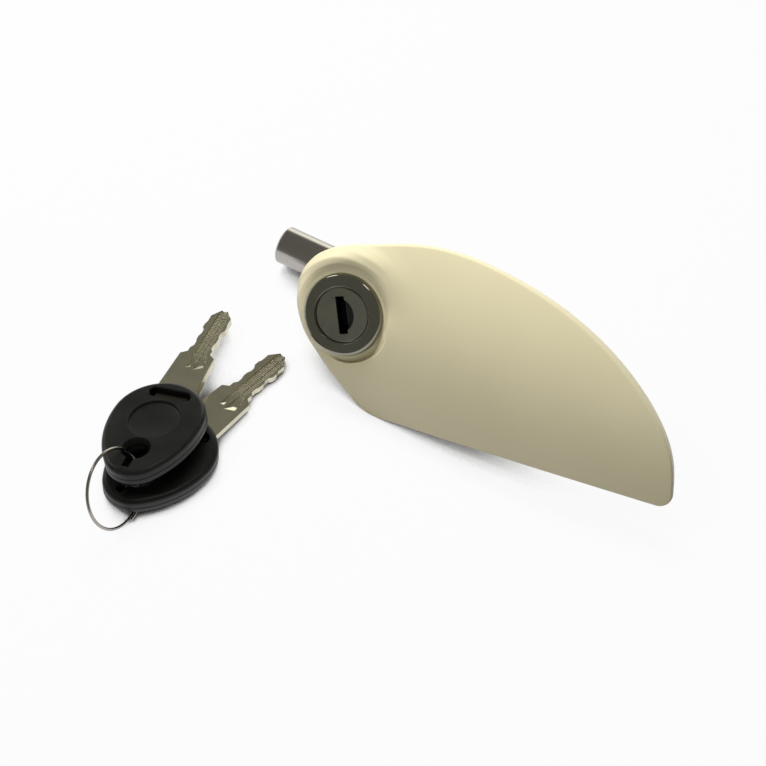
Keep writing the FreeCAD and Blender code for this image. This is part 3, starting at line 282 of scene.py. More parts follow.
def rounded_profile(corners, radii, steps=6):
    """A closed polygon's points; a corner with a radius becomes an arc tangent to both its sides."""
    corners = np.asarray(corners, float)
    out = []
    for k, (p, radius) in enumerate(zip(corners, radii)):
        if radius <= 0:
            out.append(p[None])
            continue
        a, b = corners[k - 1] - p, corners[(k + 1) % len(corners)] - p
        la, lb = np.linalg.norm(a), np.linalg.norm(b)
        a, b = a / la, b / lb
        half = math.acos(np.clip(a @ b, -1, 1)) / 2
        reach = min(radius / math.tan(half), 0.49 * la, 0.49 * lb)
        r = reach * math.tan(half)
        centre = p + (a + b) / np.linalg.norm(a + b) * r / math.sin(half)
        start, end = p + a * reach - centre, p + b * reach - centre
        t = np.linspace(0, 1, steps + 1)[:, None]
        turn = math.acos(np.clip(start @ end / (r * r), -1, 1))
        out.append(centre + (np.sin((1 - t) * turn) * start + np.sin(t * turn) * end) / math.sin(turn))
    return np.concatenate(out)


def turned(name, profile, where, count=192, sharp=35.0):
    """A closed profile of (radius, height) carried round the z axis: (r cos a, r sin a, h)."""
    a = np.arange(count) * 2 * math.pi / count
    r, h = profile[:, 0], profile[:, 1]
    points = np.stack([np.outer(np.cos(a), r), np.outer(np.sin(a), r), np.tile(h, (count, 1))], -1)
    points = placed(points.reshape(-1, 3), where)
    return make_mesh(name, points, [grid_faces(count, len(r), True, True)], sharp)


def at_height(ring, z):
    """A row of points: those of a flat ring, at one height or at a height each."""
    return np.column_stack([ring, np.broadcast_to(z, len(ring))])


def prism(name, outline, low, high, edge, where, sharp=35.0, steps=4):
    """A flat plate with rounded edges.

    With a from 0 to a right angle, the outline is drawn in by edge (1 - sin a) while the height climbs from
    low by edge (1 - cos a), and the same the other way round below high. The way in at a corner is the sum
    of its sides' normals over one plus their product.
    """
    outline = np.asarray(outline, float)
    outline = outline[np.linalg.norm(np.roll(outline, -1, 0) - outline, axis=1) > SAME_POINT]
    ahead, behind = np.roll(outline, -1, 0), np.roll(outline, 1, 0)
    area = 0.5 * np.sum(outline[:, 0] * ahead[:, 1] - ahead[:, 0] * outline[:, 1])
    d1, d2 = outline - behind, ahead - outline
    d1 /= np.linalg.norm(d1, axis=1)[:, None]
    d2 /= np.linalg.norm(d2, axis=1)[:, None]
    n1, n2 = np.stack([-d1[:, 1], d1[:, 0]], 1), np.stack([-d2[:, 1], d2[:, 0]], 1)
    inward = (n1 + n2) / (1 + np.sum(n1 * n2, 1))[:, None] * math.copysign(1, area)
    a = np.linspace(0, math.pi / 2, steps) if edge else np.zeros(1)
    insets = np.concatenate([edge * (1 - np.sin(a)), edge * (1 - np.cos(a))])
    levels = np.concatenate([low + edge * (1 - np.cos(a)), high - edge * (1 - np.sin(a))])
    rings = [at_height(outline + inward * inset, z) for inset, z in zip(insets, levels)]
    return swept(name, np.stack(rings), where, closed=False, sharp=sharp)


def box_outline(x0, x1, y0, y1):
    """The four corners of a rectangle."""
    return np.array(((x0, y0), (x1, y0), (x1, y1), (x0, y1)), float)


def boolean_cut(mesh, cutters, flat=False, sharp=30.0):
    """The mesh less each cutter, worked out once and kept as plain mesh."""
    base = add_object("blank", mesh)
    helpers = [add_object("cutter", cutter) for cutter in cutters]
    for helper in helpers:
        step = base.modifiers.new("cut", "BOOLEAN")
        step.operation = "DIFFERENCE"
        step.solver = "EXACT"
        step.object = helper
    bpy.context.view_layer.update()
    result = bpy.data.meshes.new_from_object(base.evaluated_get(bpy.context.evaluated_depsgraph_get()))
    for item in (base, *helpers):
        bpy.data.objects.remove(item)
    # A cut face has many corners and is flat. Shaded smooth it would show patches.
    corners = np.empty(len(result.polygons), np.int32)
    result.polygons.foreach_get("loop_total", corners)
    result.polygons.foreach_set("use_smooth", (corners <= 4) & (not flat))
    result.set_sharp_from_angle(angle=math.radians(sharp))
    return result


# Materials


def add_node(tree, kind, **values):
    """A new node, each value given to its input of that name or else to its setting."""
    item = tree.nodes.new(kind)
    for key, value in values.items():
        if key in item.inputs:
            item.inputs[key].default_value = value
        else:
            setattr(item, key, value)
    return item


def ranged(tree, source, low, high, to_low=0.0, to_high=1.0, **settings):
    """The source's value carried from the range low to high over to the range to_low to to_high."""
    span = add_node(tree, "ShaderNodeMapRange", **settings)
    for key, value in (("From Min", low), ("From Max", high), ("To Min", to_low), ("To Max", to_high)):
        span.inputs[key].default_value = value
    tree.links.new(source, span.inputs["Value"])
    return span.outputs["Result"]


def dot(tree, source, axis):
    """The source's length along an axis."""
    product = add_node(tree, "ShaderNodeVectorMath", operation="DOT_PRODUCT")
    tree.links.new(source, product.inputs[0])
    product.inputs[1].default_value = tuple(axis)
    return product.outputs["Value"]


def combined(tree, operation, first, second):
    """Two values joined by one operation of arithmetic."""
    item = add_node(tree, "ShaderNodeMath", operation=operation)
    tree.links.new(first, item.inputs[0])
    tree.links.new(second, item.inputs[1])
    return item.outputs[0]


def blended(tree, share, first, second):
    """The first shader mixed with the share of the second."""
    mix = add_node(tree, "ShaderNodeMixShader")
    tree.links.new(share, mix.inputs["Fac"])
    tree.links.new(first, mix.inputs[1])
    tree.links.new(second, mix.inputs[2])
    return mix.outputs["Shader"]


class Finish:
    """A node material under construction, on Object coordinates."""

    def __init__(self, name):
        self.material = bpy.data.materials.new(name)
        self.material.use_nodes = True
        self.tree = self.material.node_tree
        self.shader = self.tree.nodes["Principled BSDF"]
        self.place = self.node("ShaderNodeTexCoord").outputs["Object"]

    def node(self, kind, **values):
        """A new node in the material's tree."""
        return add_node(self.tree, kind, **values)

    def join(self, source, target):
        """Links an output to an input."""
        self.tree.links.new(source, target)

    def set(self, **values):
        """Sets the shader's inputs; an underscore stands for a space in a name."""
        for key, value in values.items():
            self.shader.inputs[key.replace("_", " ")].default_value = value
        return self

    def noise(self, scale, detail=3.0, stretch=(1, 1, 1)):
        """A noise over the piece, finer with the scale and drawn out where the stretch is small."""
        mapping = self.node("ShaderNodeMapping", Scale=stretch)
        self.join(self.place, mapping.inputs["Vector"])
        noise = self.node("ShaderNodeTexNoise", Scale=scale, Detail=detail)
        self.join(mapping.outputs["Vector"], noise.inputs["Vector"])
        return noise.outputs["Fac"]

    def colour_between(self, source, first, second):
        """The colour runs by the source from the first tone to the second, each given with its place."""
        ramp = self.node("ShaderNodeValToRGB")
        for element, (at, tone) in zip(ramp.color_ramp.elements, (first, second)):
            element.position = at
            element.color = (*tone[:3], 1.0)
        self.join(source, ramp.inputs["Fac"])
        self.join(ramp.outputs["Color"], self.shader.inputs["Base Color"])

    def darker_at(self, point, axis, low, high, tone):
        """Mixes tone into the colour as the way from point along axis goes from low to high, in metres."""
        apart = self.node("ShaderNodeVectorMath", operation="SUBTRACT")
        self.join(self.place, apart.inputs[0])
        apart.inputs[1].default_value = tuple(point)
        share = ranged(self.tree, dot(self.tree, apart.outputs["Vector"], axis), low, high)
        mix = self.node("ShaderNodeMix", data_type="RGBA")
        self.join(share, mix.inputs["Factor"])
        self.join(self.shader.inputs["Base Color"].links[0].from_socket, mix.inputs["A"])
        mix.inputs["B"].default_value = (*tone, 1.0)
        self.join(mix.outputs["Result"], self.shader.inputs["Base Color"])

    def roughness_from(self, source, low, high):
        """The roughness goes from low to high with the source."""
        self.join(ranged(self.tree, source, 0.0, 1.0, low, high), self.shader.inputs["Roughness"])

    def bump_from(self, source, strength, distance):
        """Adds a bump by the source to those there are."""
        bump = self.node("ShaderNodeBump", Strength=strength, Distance=distance)
        self.join(source, bump.inputs["Height"])
        if self.shader.inputs["Normal"].is_linked:
            self.join(self.shader.inputs["Normal"].links[0].from_socket, bump.inputs["Normal"])
        self.join(bump.outputs["Normal"], self.shader.inputs["Normal"])


def mixed(tone, factor):
    """The tone times a factor, up to white."""
    return tuple(min(1.0, channel * factor) for channel in tone[:3])


def ivory_moulding(tone, shade):
    """Satin plastic, mottled between two tones, with a fine grain and a faint wave from the mould."""
    finish = Finish("ivory_moulding").set(Roughness=0.42, IOR=1.46, Coat_Weight=0.12, Coat_Roughness=0.25)
    finish.colour_between(finish.noise(scale=28.0, detail=2.0), (0.30, shade), (0.72, tone))
    finish.roughness_from(finish.noise(scale=900.0, detail=4.0), low=0.36, high=0.50)
    finish.bump_from(finish.noise(scale=2600.0), strength=0.06, distance=0.00003)
    finish.bump_from(finish.noise(scale=60.0, detail=2.0), strength=0.05, distance=0.0004)
    return finish.material


def metal(name, tone, roughness, grain=(1, 1, 1), scale=600.0, bump=0.05, spread=0.12, shade=0.86, painted_shade=None):
    """Bare metal: two tones of a stretched noise, its roughness and fine bump, and painted shade where given.
    """
    finish = Finish(name).set(Metallic=1.0, Roughness=roughness)
    mottle = finish.noise(scale * 0.2, stretch=grain)
    finish.colour_between(mottle, (0.35, mixed(tone, shade)), (0.68, tone))
    brushing = finish.noise(scale, detail=4.0, stretch=grain)
    finish.roughness_from(brushing, low=max(0.03, roughness - spread / 2), high=roughness + spread / 2)
    finish.bump_from(finish.noise(scale * 2.0, detail=2.0, stretch=grain), strength=bump, distance=0.00002)
    if painted_shade:
        finish.darker_at(*painted_shade)
    return finish.material


def black_moulding(tone):
    """Satin black plastic with a fine grain."""
    finish = Finish("key_plastic").set(Roughness=0.38, IOR=1.5, Specular_IOR_Level=0.32)
    finish.colour_between(finish.noise(scale=180.0), (0.3, mixed(tone, 0.7)), (0.75, mixed(tone, 1.5)))
    finish.roughness_from(finish.noise(scale=1500.0, detail=4.0), low=0.30, high=0.46)
    finish.bump_from(finish.noise(scale=2400.0, detail=4.0), strength=0.16, distance=0.00003)
    return finish.material


def rubber(name, tone):
    """Dull rubber."""
    finish = Finish(name).set(Roughness=0.7)
    finish.colour_between(finish.noise(scale=300.0), (0.3, mixed(tone, 0.7)), (0.7, mixed(tone, 1.2)))
    finish.bump_from(finish.noise(scale=1800.0), strength=0.1, distance=0.00003)
    return finish.material


# Leaf handle

# The outline as shares of the four reaches from the barrel's axis, as the solid has it.
REACH_TIP, REACH_NOSE, REACH_CREST, REACH_FOOT = 94.9, 15.5, 26.6, 24.3
RIM_POINTS = 720
LONG_CURVE = (
    (0.090, -0.93),
    (-0.17, -0.655),
    (-0.87, -0.18),
    (-1.00, 0.10),
    (-0.80, 0.445),
    (-0.17, 0.68),
    (0.157, 0.944),
    (0.36, 1.00),
    (0.59, 0.873),
    (0.845, 0.444),
    (0.971, -0.03),
    (1.003, -0.335),
)
TIP_CORNER = ((0.9973, -0.4428), (0.9731, -0.4996))
LOWER_EDGE = ((0.58, -0.70), (0.215, -0.968))
FOOT_CORNER = (0.158, -1.0)
# Rounding of the rim's back edge, in mm.
BACK_EDGE = 0.4


def shares_to_mm(shares):
    """Places in mm from shares of the four reaches."""
    p = np.asarray(shares, float)
    x = p[..., 0] * np.where(p[..., 0] > 0, REACH_TIP, REACH_NOSE)
    y = p[..., 1] * np.where(p[..., 1] > 0, REACH_CREST, REACH_FOOT)
    return np.stack([x, y], -1)


def natural_spline(knots, count):
    """Points of the cubic through the knots whose second derivative is continuous and zero at both ends."""
    chord = np.linalg.norm(np.diff(knots, axis=0), axis=1)
    t = np.concatenate([[0], np.cumsum(chord)])
    n = len(knots)
    system = np.zeros((n, n))
    right = np.zeros((n, 2))
    system[0, 0] = system[-1, -1] = 1
    k = np.arange(1, n - 1)
    system[k, k - 1] = chord[:-1]
    system[k, k] = 2 * (chord[:-1] + chord[1:])
    system[k, k + 1] = chord[1:]
    slope = np.diff(knots, axis=0) / chord[:, None]
    right[1:-1] = 6 * np.diff(slope, axis=0)
    bend = np.linalg.solve(system, right)
    s = np.linspace(0, t[-1], count)
    i = np.clip(np.searchsorted(t, s, side="right") - 1, 0, n - 2)
    h, a, b = chord[i][:, None], (t[i + 1] - s)[:, None], (s - t[i])[:, None]
    first = (bend[i] * a**3 + bend[i + 1] * b**3) / (6 * h)
    return first + (knots[i] / h - bend[i] * h / 6) * a + (knots[i + 1] / h - bend[i + 1] * h / 6) * b


def arc_through(a, b, c, count):
    """Points of the circle through a, b and c, from a to c."""
    d = 2 * (a[0] * (b[1] - c[1]) + b[0] * (c[1] - a[1]) + c[0] * (a[1] - b[1]))
    sq = [p @ p for p in (a, b, c)]
    x = (sq[0] * (b[1] - c[1]) + sq[1] * (c[1] - a[1]) + sq[2] * (a[1] - b[1])) / d
    y = (sq[0] * (c[0] - b[0]) + sq[1] * (a[0] - c[0]) + sq[2] * (b[0] - a[0])) / d
    centre = np.array((x, y))
    angles = np.unwrap([math.atan2(*(p - centre)[::-1]) for p in (a, b, c)])
    w = np.linspace(angles[0], angles[2], count)
    return centre + np.linalg.norm(a - centre) * np.stack([np.cos(w), np.sin(w)], -1)


def leaf_outline():
    """The outline at equal steps of its length: a spline over nose and crest, and arcs for the rest."""
    long_curve, tip, lower = (shares_to_mm(p) for p in (LONG_CURVE, TIP_CORNER, LOWER_EDGE))
    foot = shares_to_mm(FOOT_CORNER)
    pieces = (
        natural_spline(long_curve, 900)[:-1],
        arc_through(long_curve[-1], tip[0], tip[1], 60)[:-1],
        arc_through(tip[1], lower[0], lower[1], 400)[:-1],
        arc_through(lower[1], foot, long_curve[0], 60)[:-1],
    )
    raw = np.concatenate(pieces)
    closed = np.concatenate([raw, raw[:1]])
    t = np.concatenate([[0], np.cumsum(np.linalg.norm(np.diff(closed, axis=0), axis=1))])
    s = np.arange(RIM_POINTS) * t[-1] / RIM_POINTS
    return np.stack([np.interp(s, t, closed[:, k]) for k in (0, 1)], -1)


# What the dish adds to the crown, in mm: a line for each bearing round the barrel, a column for each radius.
DISH_STEP = 30.0
DISH_RADII = np.array((11.8, 12.5, 13.1, 13.6, 15.0, 16.5, 18.0, 20.0, 23.0))
DISH = np.array(
    (
        (-1.40, -0.57, -0.03, 0.00, 0.00, 0.00, 0.00, 0.00, 0.00),
        (-1.03, -0.62, -0.33, -0.18, -0.04, 0.00, 0.00, 0.00, 0.00),
        (-0.24, 0.10, 0.38, 0.59, 0.84, 0.80, 0.60, 0.27, 0.00),
        (0.66, 0.95, 1.30, 1.66, 2.25, 2.25, 1.40, 0.30, 0.00),
        (1.29, 1.62, 1.97, 2.28, 2.55, 1.50, 0.40, 0.10, 0.00),
        (1.69, 1.95, 2.12, 2.22, 2.10, 0.90, 0.10, 0.00, 0.00),
        (2.12, 2.18, 2.10, 1.91, 0.60, 0.05, 0.00, 0.00, 0.00),
        (2.56, 2.27, 1.65, 1.03, 0.05, 0.00, 0.00, 0.00, 0.00),
        (2.75, 2.03, 1.44, 0.86, 0.05, 0.00, 0.00, 0.00, 0.00),
        (1.36, 0.18, -0.35, -0.20, 0.00, 0.00, 0.00, 0.00, 0.00),
        (-0.18, -0.86, -1.05, -0.25, 0.00, 0.00, 0.00, 0.00, 0.00),
        (-1.28, -1.64, -1.54, -0.09, 0.00, 0.00, 0.00, 0.00, 0.00),
    )
)


def cubic_through(before, start, end, after, share):
    """The cubic from start to end whose slope at each is half the step between its neighbours."""
    a = 0.5 * (after - before) + 1.5 * (start - end)
    b = before - 2.5 * start + 2.0 * end - 0.5 * after
    return ((a * share + b) * share + 0.5 * (end - before)) * share + start


def dish_height(bearing, radius):
    """The dish's table read by bearing in degrees and radius in mm, with a cubic each way.

    Along the radius, with s the share of the gap g between two columns and m the slopes at its ends, the
    height is start + (end - start) s^2 (3 - 2s) + g (m0 s (1 - s)^2 - m1 s^2 (1 - s)). A column's slope is
    the harmonic mean of the slopes a and b on its two sides, 2ab / (a + b), or none at a turning point, so
    that no ridge is added.
    """
    turn = (bearing % 360) / DISH_STEP
    line = np.floor(turn).astype(int)
    step = np.diff(DISH, axis=1) / np.diff(DISH_RADII)
    product = step[:, :-1] * step[:, 1:]
    same = product > 0
    mean = np.where(same, 2 * product / np.where(same, step[:, :-1] + step[:, 1:], 1), 0)
    slope = np.concatenate([step[:, :1], mean, np.zeros((len(DISH), 1))], axis=1)
    first = np.clip(np.searchsorted(DISH_RADII, radius, side="right") - 1, 0, len(DISH_RADII) - 2)
    gap = DISH_RADII[first + 1] - DISH_RADII[first]
    s = np.clip((radius - DISH_RADII[first]) / gap, 0, 1)
    start, end = DISH[:, first], DISH[:, first + 1]
    bend = gap * (slope[:, first] * s * (1 - s) ** 2 - slope[:, first + 1] * s**2 * (1 - s))
    by_radius = start + (end - start) * s**2 * (3 - 2 * s) + bend
    lines = [(line + near) % len(DISH) for near in (-1, 0, 1, 2)]
    picked = [np.take_along_axis(by_radius, number[None], axis=0)[0] for number in lines]
    return cubic_through(*picked, turn - line)


# The crown's top on the face, in mm from the barrel's axis, and the lean of its long arc in degrees.
CROWN_TOP, CROWN_LEAN = (38.0, 2.0), -3.5


def face_height(x, y, p):
    """Height of the leaf's face: a torus with a long arc along and a short one across, plus the dish.

    With u and v the ways along and across from the crown's top, the crown is
    sqrt((long - cross + sqrt(cross^2 - v^2))^2 - u^2) less the long radius. The dish's table is added to
    it, and the flat pad under the bezel takes over inside its radius by a smooth step.
    """
    lean = math.radians(CROWN_LEAN)
    du, dv = x - CROWN_TOP[0], y - CROWN_TOP[1]
    u = du * math.cos(lean) + dv * math.sin(lean)
    v = -du * math.sin(lean) + dv * math.cos(lean)
    long_radius, cross = p.crown_long / MM, p.crown_cross / MM
    side = long_radius - cross + np.sqrt(np.clip(cross**2 - v**2, 0, None))
    crown = np.sqrt(side**2 - u**2) - long_radius + p.crown_height / MM
    r = np.hypot(x, y)
    face = crown + dish_height(np.degrees(np.arctan2(y, x)), r)
    pad, sink = p.pad_radius / MM, -p.pad_sink / MM
    return sink + (face - sink) * smoothstep(r, pad - 0.1, pad + p.pad_step / MM)


def room_inward(rim, normal, most):
    """How far each rim point can go in along its normal and still have the rim no nearer than that.

    Steps from most down to 0.2 mm are tried. Where the rim comes nearer than 98.5 % of a step, the room is
    97 % of it.
    """
    ahead = np.roll(rim, -1, 0) - rim
    square = np.sum(ahead**2, axis=1)
    free = np.full(len(rim), most)
    for step in np.linspace(0.2, most, 40)[::-1]:
        away = (rim - normal * step)[:, None, :] - rim[None, :, :]
        share = np.clip(np.sum(away * ahead[None], axis=2) / square, 0, 1)
        gap = np.linalg.norm(away - share[..., None] * ahead[None], axis=2).min(axis=1)
        free = np.where(gap < step * 0.985, step * 0.97, free)
    return free


def from_axis(ring):
    """Distance of each point from the barrel's axis, and its direction."""
    radius = np.hypot(*ring.T)
    return radius, ring / radius[:, None]


def way_between(direction, heading, share):
    """Unit directions that turn from one to the other by a smooth step, done at half of the share."""
    blend = smoothstep(share, 0.0, 0.5)
    way = direction * (1 - blend) + heading * blend
    return way / np.linalg.norm(way, axis=1)[:, None]


# The boss behind the barrel, in mm: radii of bore, outside and cam chamber, then levels of the chamber's
# top, the boss's end and its end at the cam's window. The window's start and span are degrees of bearing.
BORE, BOSS, CHAMBER = 9.05, 13.2, 11.0
CHAMBER_TOP, BOSS_END, WINDOW_END = -13.6, -23.2, -17.6
WINDOW_START, WINDOW_SPAN = -22, 134
BOSS_EDGE = 0.3
# The face's rows start a little inside the pad's edge. So many lie in the near share of the way out, as if
# the whole way were NEAR_REACH mm long at every bearing, and so many in the rest of it.
NEAR_ROWS, NEAR_SHARE, NEAR_REACH, FAR_ROWS, PAD_OVERLAP = 48, 0.45, 26, 38, 0.3


def face_rows(direction, inset, p):
    """Rows over the face from the pad out: small equal steps near the barrel, longer ones to the rim."""
    pad = p.pad_radius / MM
    inset_radius, heading = from_axis(inset)
    near_shares, far_shares = np.linspace(0, NEAR_SHARE, NEAR_ROWS), np.linspace(NEAR_SHARE, 1, FAR_ROWS)
    for share in np.concatenate([near_shares, far_shares[1:]]):
        near = pad - PAD_OVERLAP + NEAR_REACH * share
        far = (pad - PAD_OVERLAP) + (inset_radius - pad + PAD_OVERLAP) * share
        r = np.minimum(far, near + (inset_radius - near) * smoothstep(share, 0.15, 1.0))
        ring = way_between(direction, heading, share) * r[:, None]
        yield at_height(ring, face_height(*ring.T, p))


def rim_rows(rim, normal, inset, slope, p):
    """Rows round the rim's edge, from the face's own slope to upright, and down the rim to its back."""
    edge, back = p.edge / MM, -p.rim_depth / MM
    top = face_height(*inset.T, p)
    for share in np.linspace(0, 1, 7)[1:]:
        turn = slope + (math.pi / 2 - slope) * share
        ring = inset + normal * (edge * (np.sin(turn) - np.sin(slope)))[:, None]
        yield at_height(ring, top - edge * (np.cos(slope) - np.cos(turn)))
    for share in (0.5, 1.0):
        yield at_height(rim, (top - edge * np.cos(slope)) * (1 - share) + (back + BACK_EDGE) * share)
    yield at_height(rim - normal * BACK_EDGE, back)


def back_rows(rim, normal, direction, p):
    """Rows under the rim, up its inner wall and in along the shell's back, one wall behind the face."""
    wall, back, pad_level = p.wall / MM, -p.rim_depth / MM, -p.pad_sink / MM
    room = room_inward(rim, normal, wall + 1.0)[:, None]
    yield at_height(rim - normal * np.minimum(wall - 0.3, 0.9 * room), back)
    inner = rim - normal * np.minimum(wall, room)
    yield at_height(inner, back + 0.3)
    inner_radius, heading = from_axis(inner)

    def level(ring):
        """Height of the shell's back at the points of a ring."""
        behind_face = np.minimum(face_height(*ring.T, p) - wall, pad_level - wall)
        return np.maximum(behind_face, back + 0.35)

    yield at_height(heading * (inner_radius - 0.05)[:, None], level(inner) - 0.02)
    for share in np.linspace(0.99, 0, 24):
        r = BOSS + (inner_radius - BOSS) * share
        ring = way_between(direction, heading, share) * r[:, None]
        yield at_height(ring, level(ring))


def leaf_shell(p):
    """The shell as one surface, closed both ways.

    Round the outline runs one parameter. The other runs from the bore over the pad and the face to the rim,
    round the rim's edge, down and back under it, in along the back of the shell, and down and up the boss
    to the bore again.
    """
    rim = leaf_outline()
    direction = from_axis(rim)[1]
    ahead = np.roll(rim, -1, 0) - np.roll(rim, 1, 0)
    normal = np.stack([ahead[:, 1], -ahead[:, 0]], -1) / np.linalg.norm(ahead, axis=1)[:, None]
    normal *= np.sign(np.sum(normal * direction, 1))[:, None]
    edge, pad_level = p.edge / MM, -p.pad_sink / MM
    near, out = rim - normal * (edge + 0.15), rim - normal * (edge - 0.15)
    slope = np.arctan((face_height(*near.T, p) - face_height(*out.T, p)) / 0.3)
    inset = rim - normal * (edge * (1 - np.sin(slope)))[:, None]
    bearing = (np.degrees(np.arctan2(direction[:, 1], direction[:, 0])) - WINDOW_START) % 360
    boss_end = np.where(bearing < WINDOW_SPAN, WINDOW_END, BOSS_END)
    boss = (
        (BOSS, boss_end + BOSS_EDGE),
        (BOSS - BOSS_EDGE, boss_end),
        (CHAMBER + BOSS_EDGE, boss_end),
        (CHAMBER, boss_end + BOSS_EDGE),
        (CHAMBER, CHAMBER_TOP),
        (BORE, CHAMBER_TOP),
    )
    rows = (
        *(at_height(direction * r, pad_level) for r in (BORE, p.pad_radius / MM - 2 * PAD_OVERLAP)),
        *face_rows(direction, inset, p),
        *rim_rows(rim, normal, inset, slope, p),
        *back_rows(rim, normal, direction, p),
        *(at_height(direction * r, z) for r, z in boss),
    )
    return swept("leaf_shell", np.stack(rows), LOCK, sharp=40.0)


# The shaft's axis below the barrel's face and across the leaf, in mm, and the socket's frame on it.
SHAFT_DEPTH, SHAFT_ACROSS = -31.5, 1.25
SOCKET = (LOCK[0] + LOCK[1] @ np.array((0, SHAFT_ACROSS, SHAFT_DEPTH)), LOCK[1] @ turn_about("y", 90))
SOCKET_PROFILE = ((5.05, -7.5), (7.7, -7.5), (7.7, 22.0), (SKIN, 22.0), (SKIN, 19.8), (5.05, 19.8))
SADDLE_ENDS, SADDLE_HALF, SADDLE_TOP = (-7.3, 13.0), 6.5, -22.9
SADDLE_BORE = ((SKIN, -30), (5.1, -30), (5.1, 40), (SKIN, 40))
# The long rib's place across the leaf, half its thickness, and its outline along the leaf and down.
LONG_RIB_ACROSS, LONG_RIB_HALF = -7.0, 1.25
LONG_RIB = (
    (-3.5, -31.0),
    (20.0, -31.0),
    (62.0, -6.5),
    (62.0, -4.6),
    (9.2, -4.6),
    (9.2, -23.0),
    (-3.5, -23.0),
)
# Places of the cross ribs along the leaf, half their thickness, how far their top lies under the face, how
# far their foot lies before the rim's back, and how much they stop short of the outline.
CROSS_RIBS = (30.0, 47.0, 64.0)
CROSS_RIB_HALF, CROSS_RIB_TOP, CROSS_RIB_FOOT, CROSS_RIB_SHORT = 0.9, 1.2, 0.6, 2.0


def shaft_socket():
    """The socket: a turned cup round the shaft, open at the left."""
    return turned("shaft_socket", rounded_profile(SOCKET_PROFILE, (0.3, 0.5, 1.2, 0, 0, 0.3)), SOCKET)


def saddle():
    """The block between boss and socket, with the shaft's bore through it."""
    across = (SHAFT_ACROSS - SADDLE_HALF, SHAFT_ACROSS + SADDLE_HALF)
    outline = rounded_profile(box_outline(*SADDLE_ENDS, *across), (1.0,) * 4)
    bore = turned("saddle_bore", np.array(SADDLE_BORE, float), SOCKET)
    return boolean_cut(prism("saddle", outline, SHAFT_DEPTH, SADDLE_TOP, 0.3, LOCK), [bore])


def long_rib():
    """The long rib: a plate with rounded corners that stands on the shell's back."""
    upright = (LOCK[0] + LOCK[1] @ np.array((0, LONG_RIB_ACROSS, 0)), LOCK[1] @ turn_about("x", 90))
    outline = rounded_profile(LONG_RIB, (1, 3, 2, 0, 0, 1, 1))
    return prism("long_rib", outline, -LONG_RIB_HALF, LONG_RIB_HALF, 0.3, upright)


def cross_rib(name, x, p):
    """A cross rib: a strip across the leaf whose upper edge follows the face inside the shell."""
    rim = leaf_outline()
    near = rim[np.abs(rim[:, 0] - x) < 0.5][:, 1]
    y = np.linspace(near.min() + CROSS_RIB_SHORT, near.max() - CROSS_RIB_SHORT, 40)
    along = np.full(len(y), x)
    top = np.minimum(face_height(along, y, p) - CROSS_RIB_TOP, -CROSS_RIB_TOP)
    foot = np.minimum(CROSS_RIB_FOOT - p.rim_depth / MM, top - 0.5)
    half = CROSS_RIB_HALF
    corners = ((-half, foot), (half, foot), (half, top), (-half, top))
    sections = np.stack([np.column_stack([along + side, y, z]) for side, z in corners], 1)
    return swept(name, sections, LOCK, closed=False)


# Keys

# Key head, in mm from the middle of its disc: radii of its back and side arcs, and how far its face drops
# from the recess to the edge.
HEAD_BACK, HEAD_SIDE, DROP_TO_EDGE = 8.0, 26.0, 0.10
RECESS_SINK = 0.75
HOLE_PLACE, HOLE_FLARE, HOLE_FLARE_DEPTH = -10.45, 0.55, 1.1
WINDOW_PLACE, WINDOW_LENGTH, WINDOW_WIDTH = 9.4, 11.6, 3.2
SLOT_BEHIND, SLOT_DEPTH = (-1.0, 1.0, -16.8, -12.6), 3.0
# Cutters stand out of the head by this much.
CUTTER_OVER = 0.5


def head_outline(p, inset, count=240):
    """The egg of four tangent arcs, less an inset: every radius shrinks and every centre stays."""
    front = p.half_width / MM
    front_y, back_y = p.front / MM - front, HEAD_BACK - p.back / MM
    difference = (HEAD_SIDE - HEAD_BACK) ** 2 - (HEAD_SIDE - front) ** 2 + front_y**2 - back_y**2
    side_y = difference / (2 * (front_y - back_y))
    side_x = math.sqrt((HEAD_SIDE - front) ** 2 - (side_y - front_y) ** 2)
    up = math.atan2(front_y - side_y, side_x)
    down = math.atan2(back_y - side_y, side_x)
    arcs = (
        (-side_x, side_y, HEAD_SIDE, down, up),
        (0.0, front_y, front, up, math.pi - up),
        (side_x, side_y, HEAD_SIDE, math.pi - up, math.pi - down),
        (0.0, back_y, HEAD_BACK, math.pi - down, 2 * math.pi + down),
    )
    parts = []
    for x, y, radius, start, end in arcs:
        a = np.linspace(start, end, count // 4, endpoint=False)
        parts.append(np.stack([(radius - inset) * np.cos(a) + x, y + (radius - inset) * np.sin(a)], -1))
    return np.concatenate(parts)


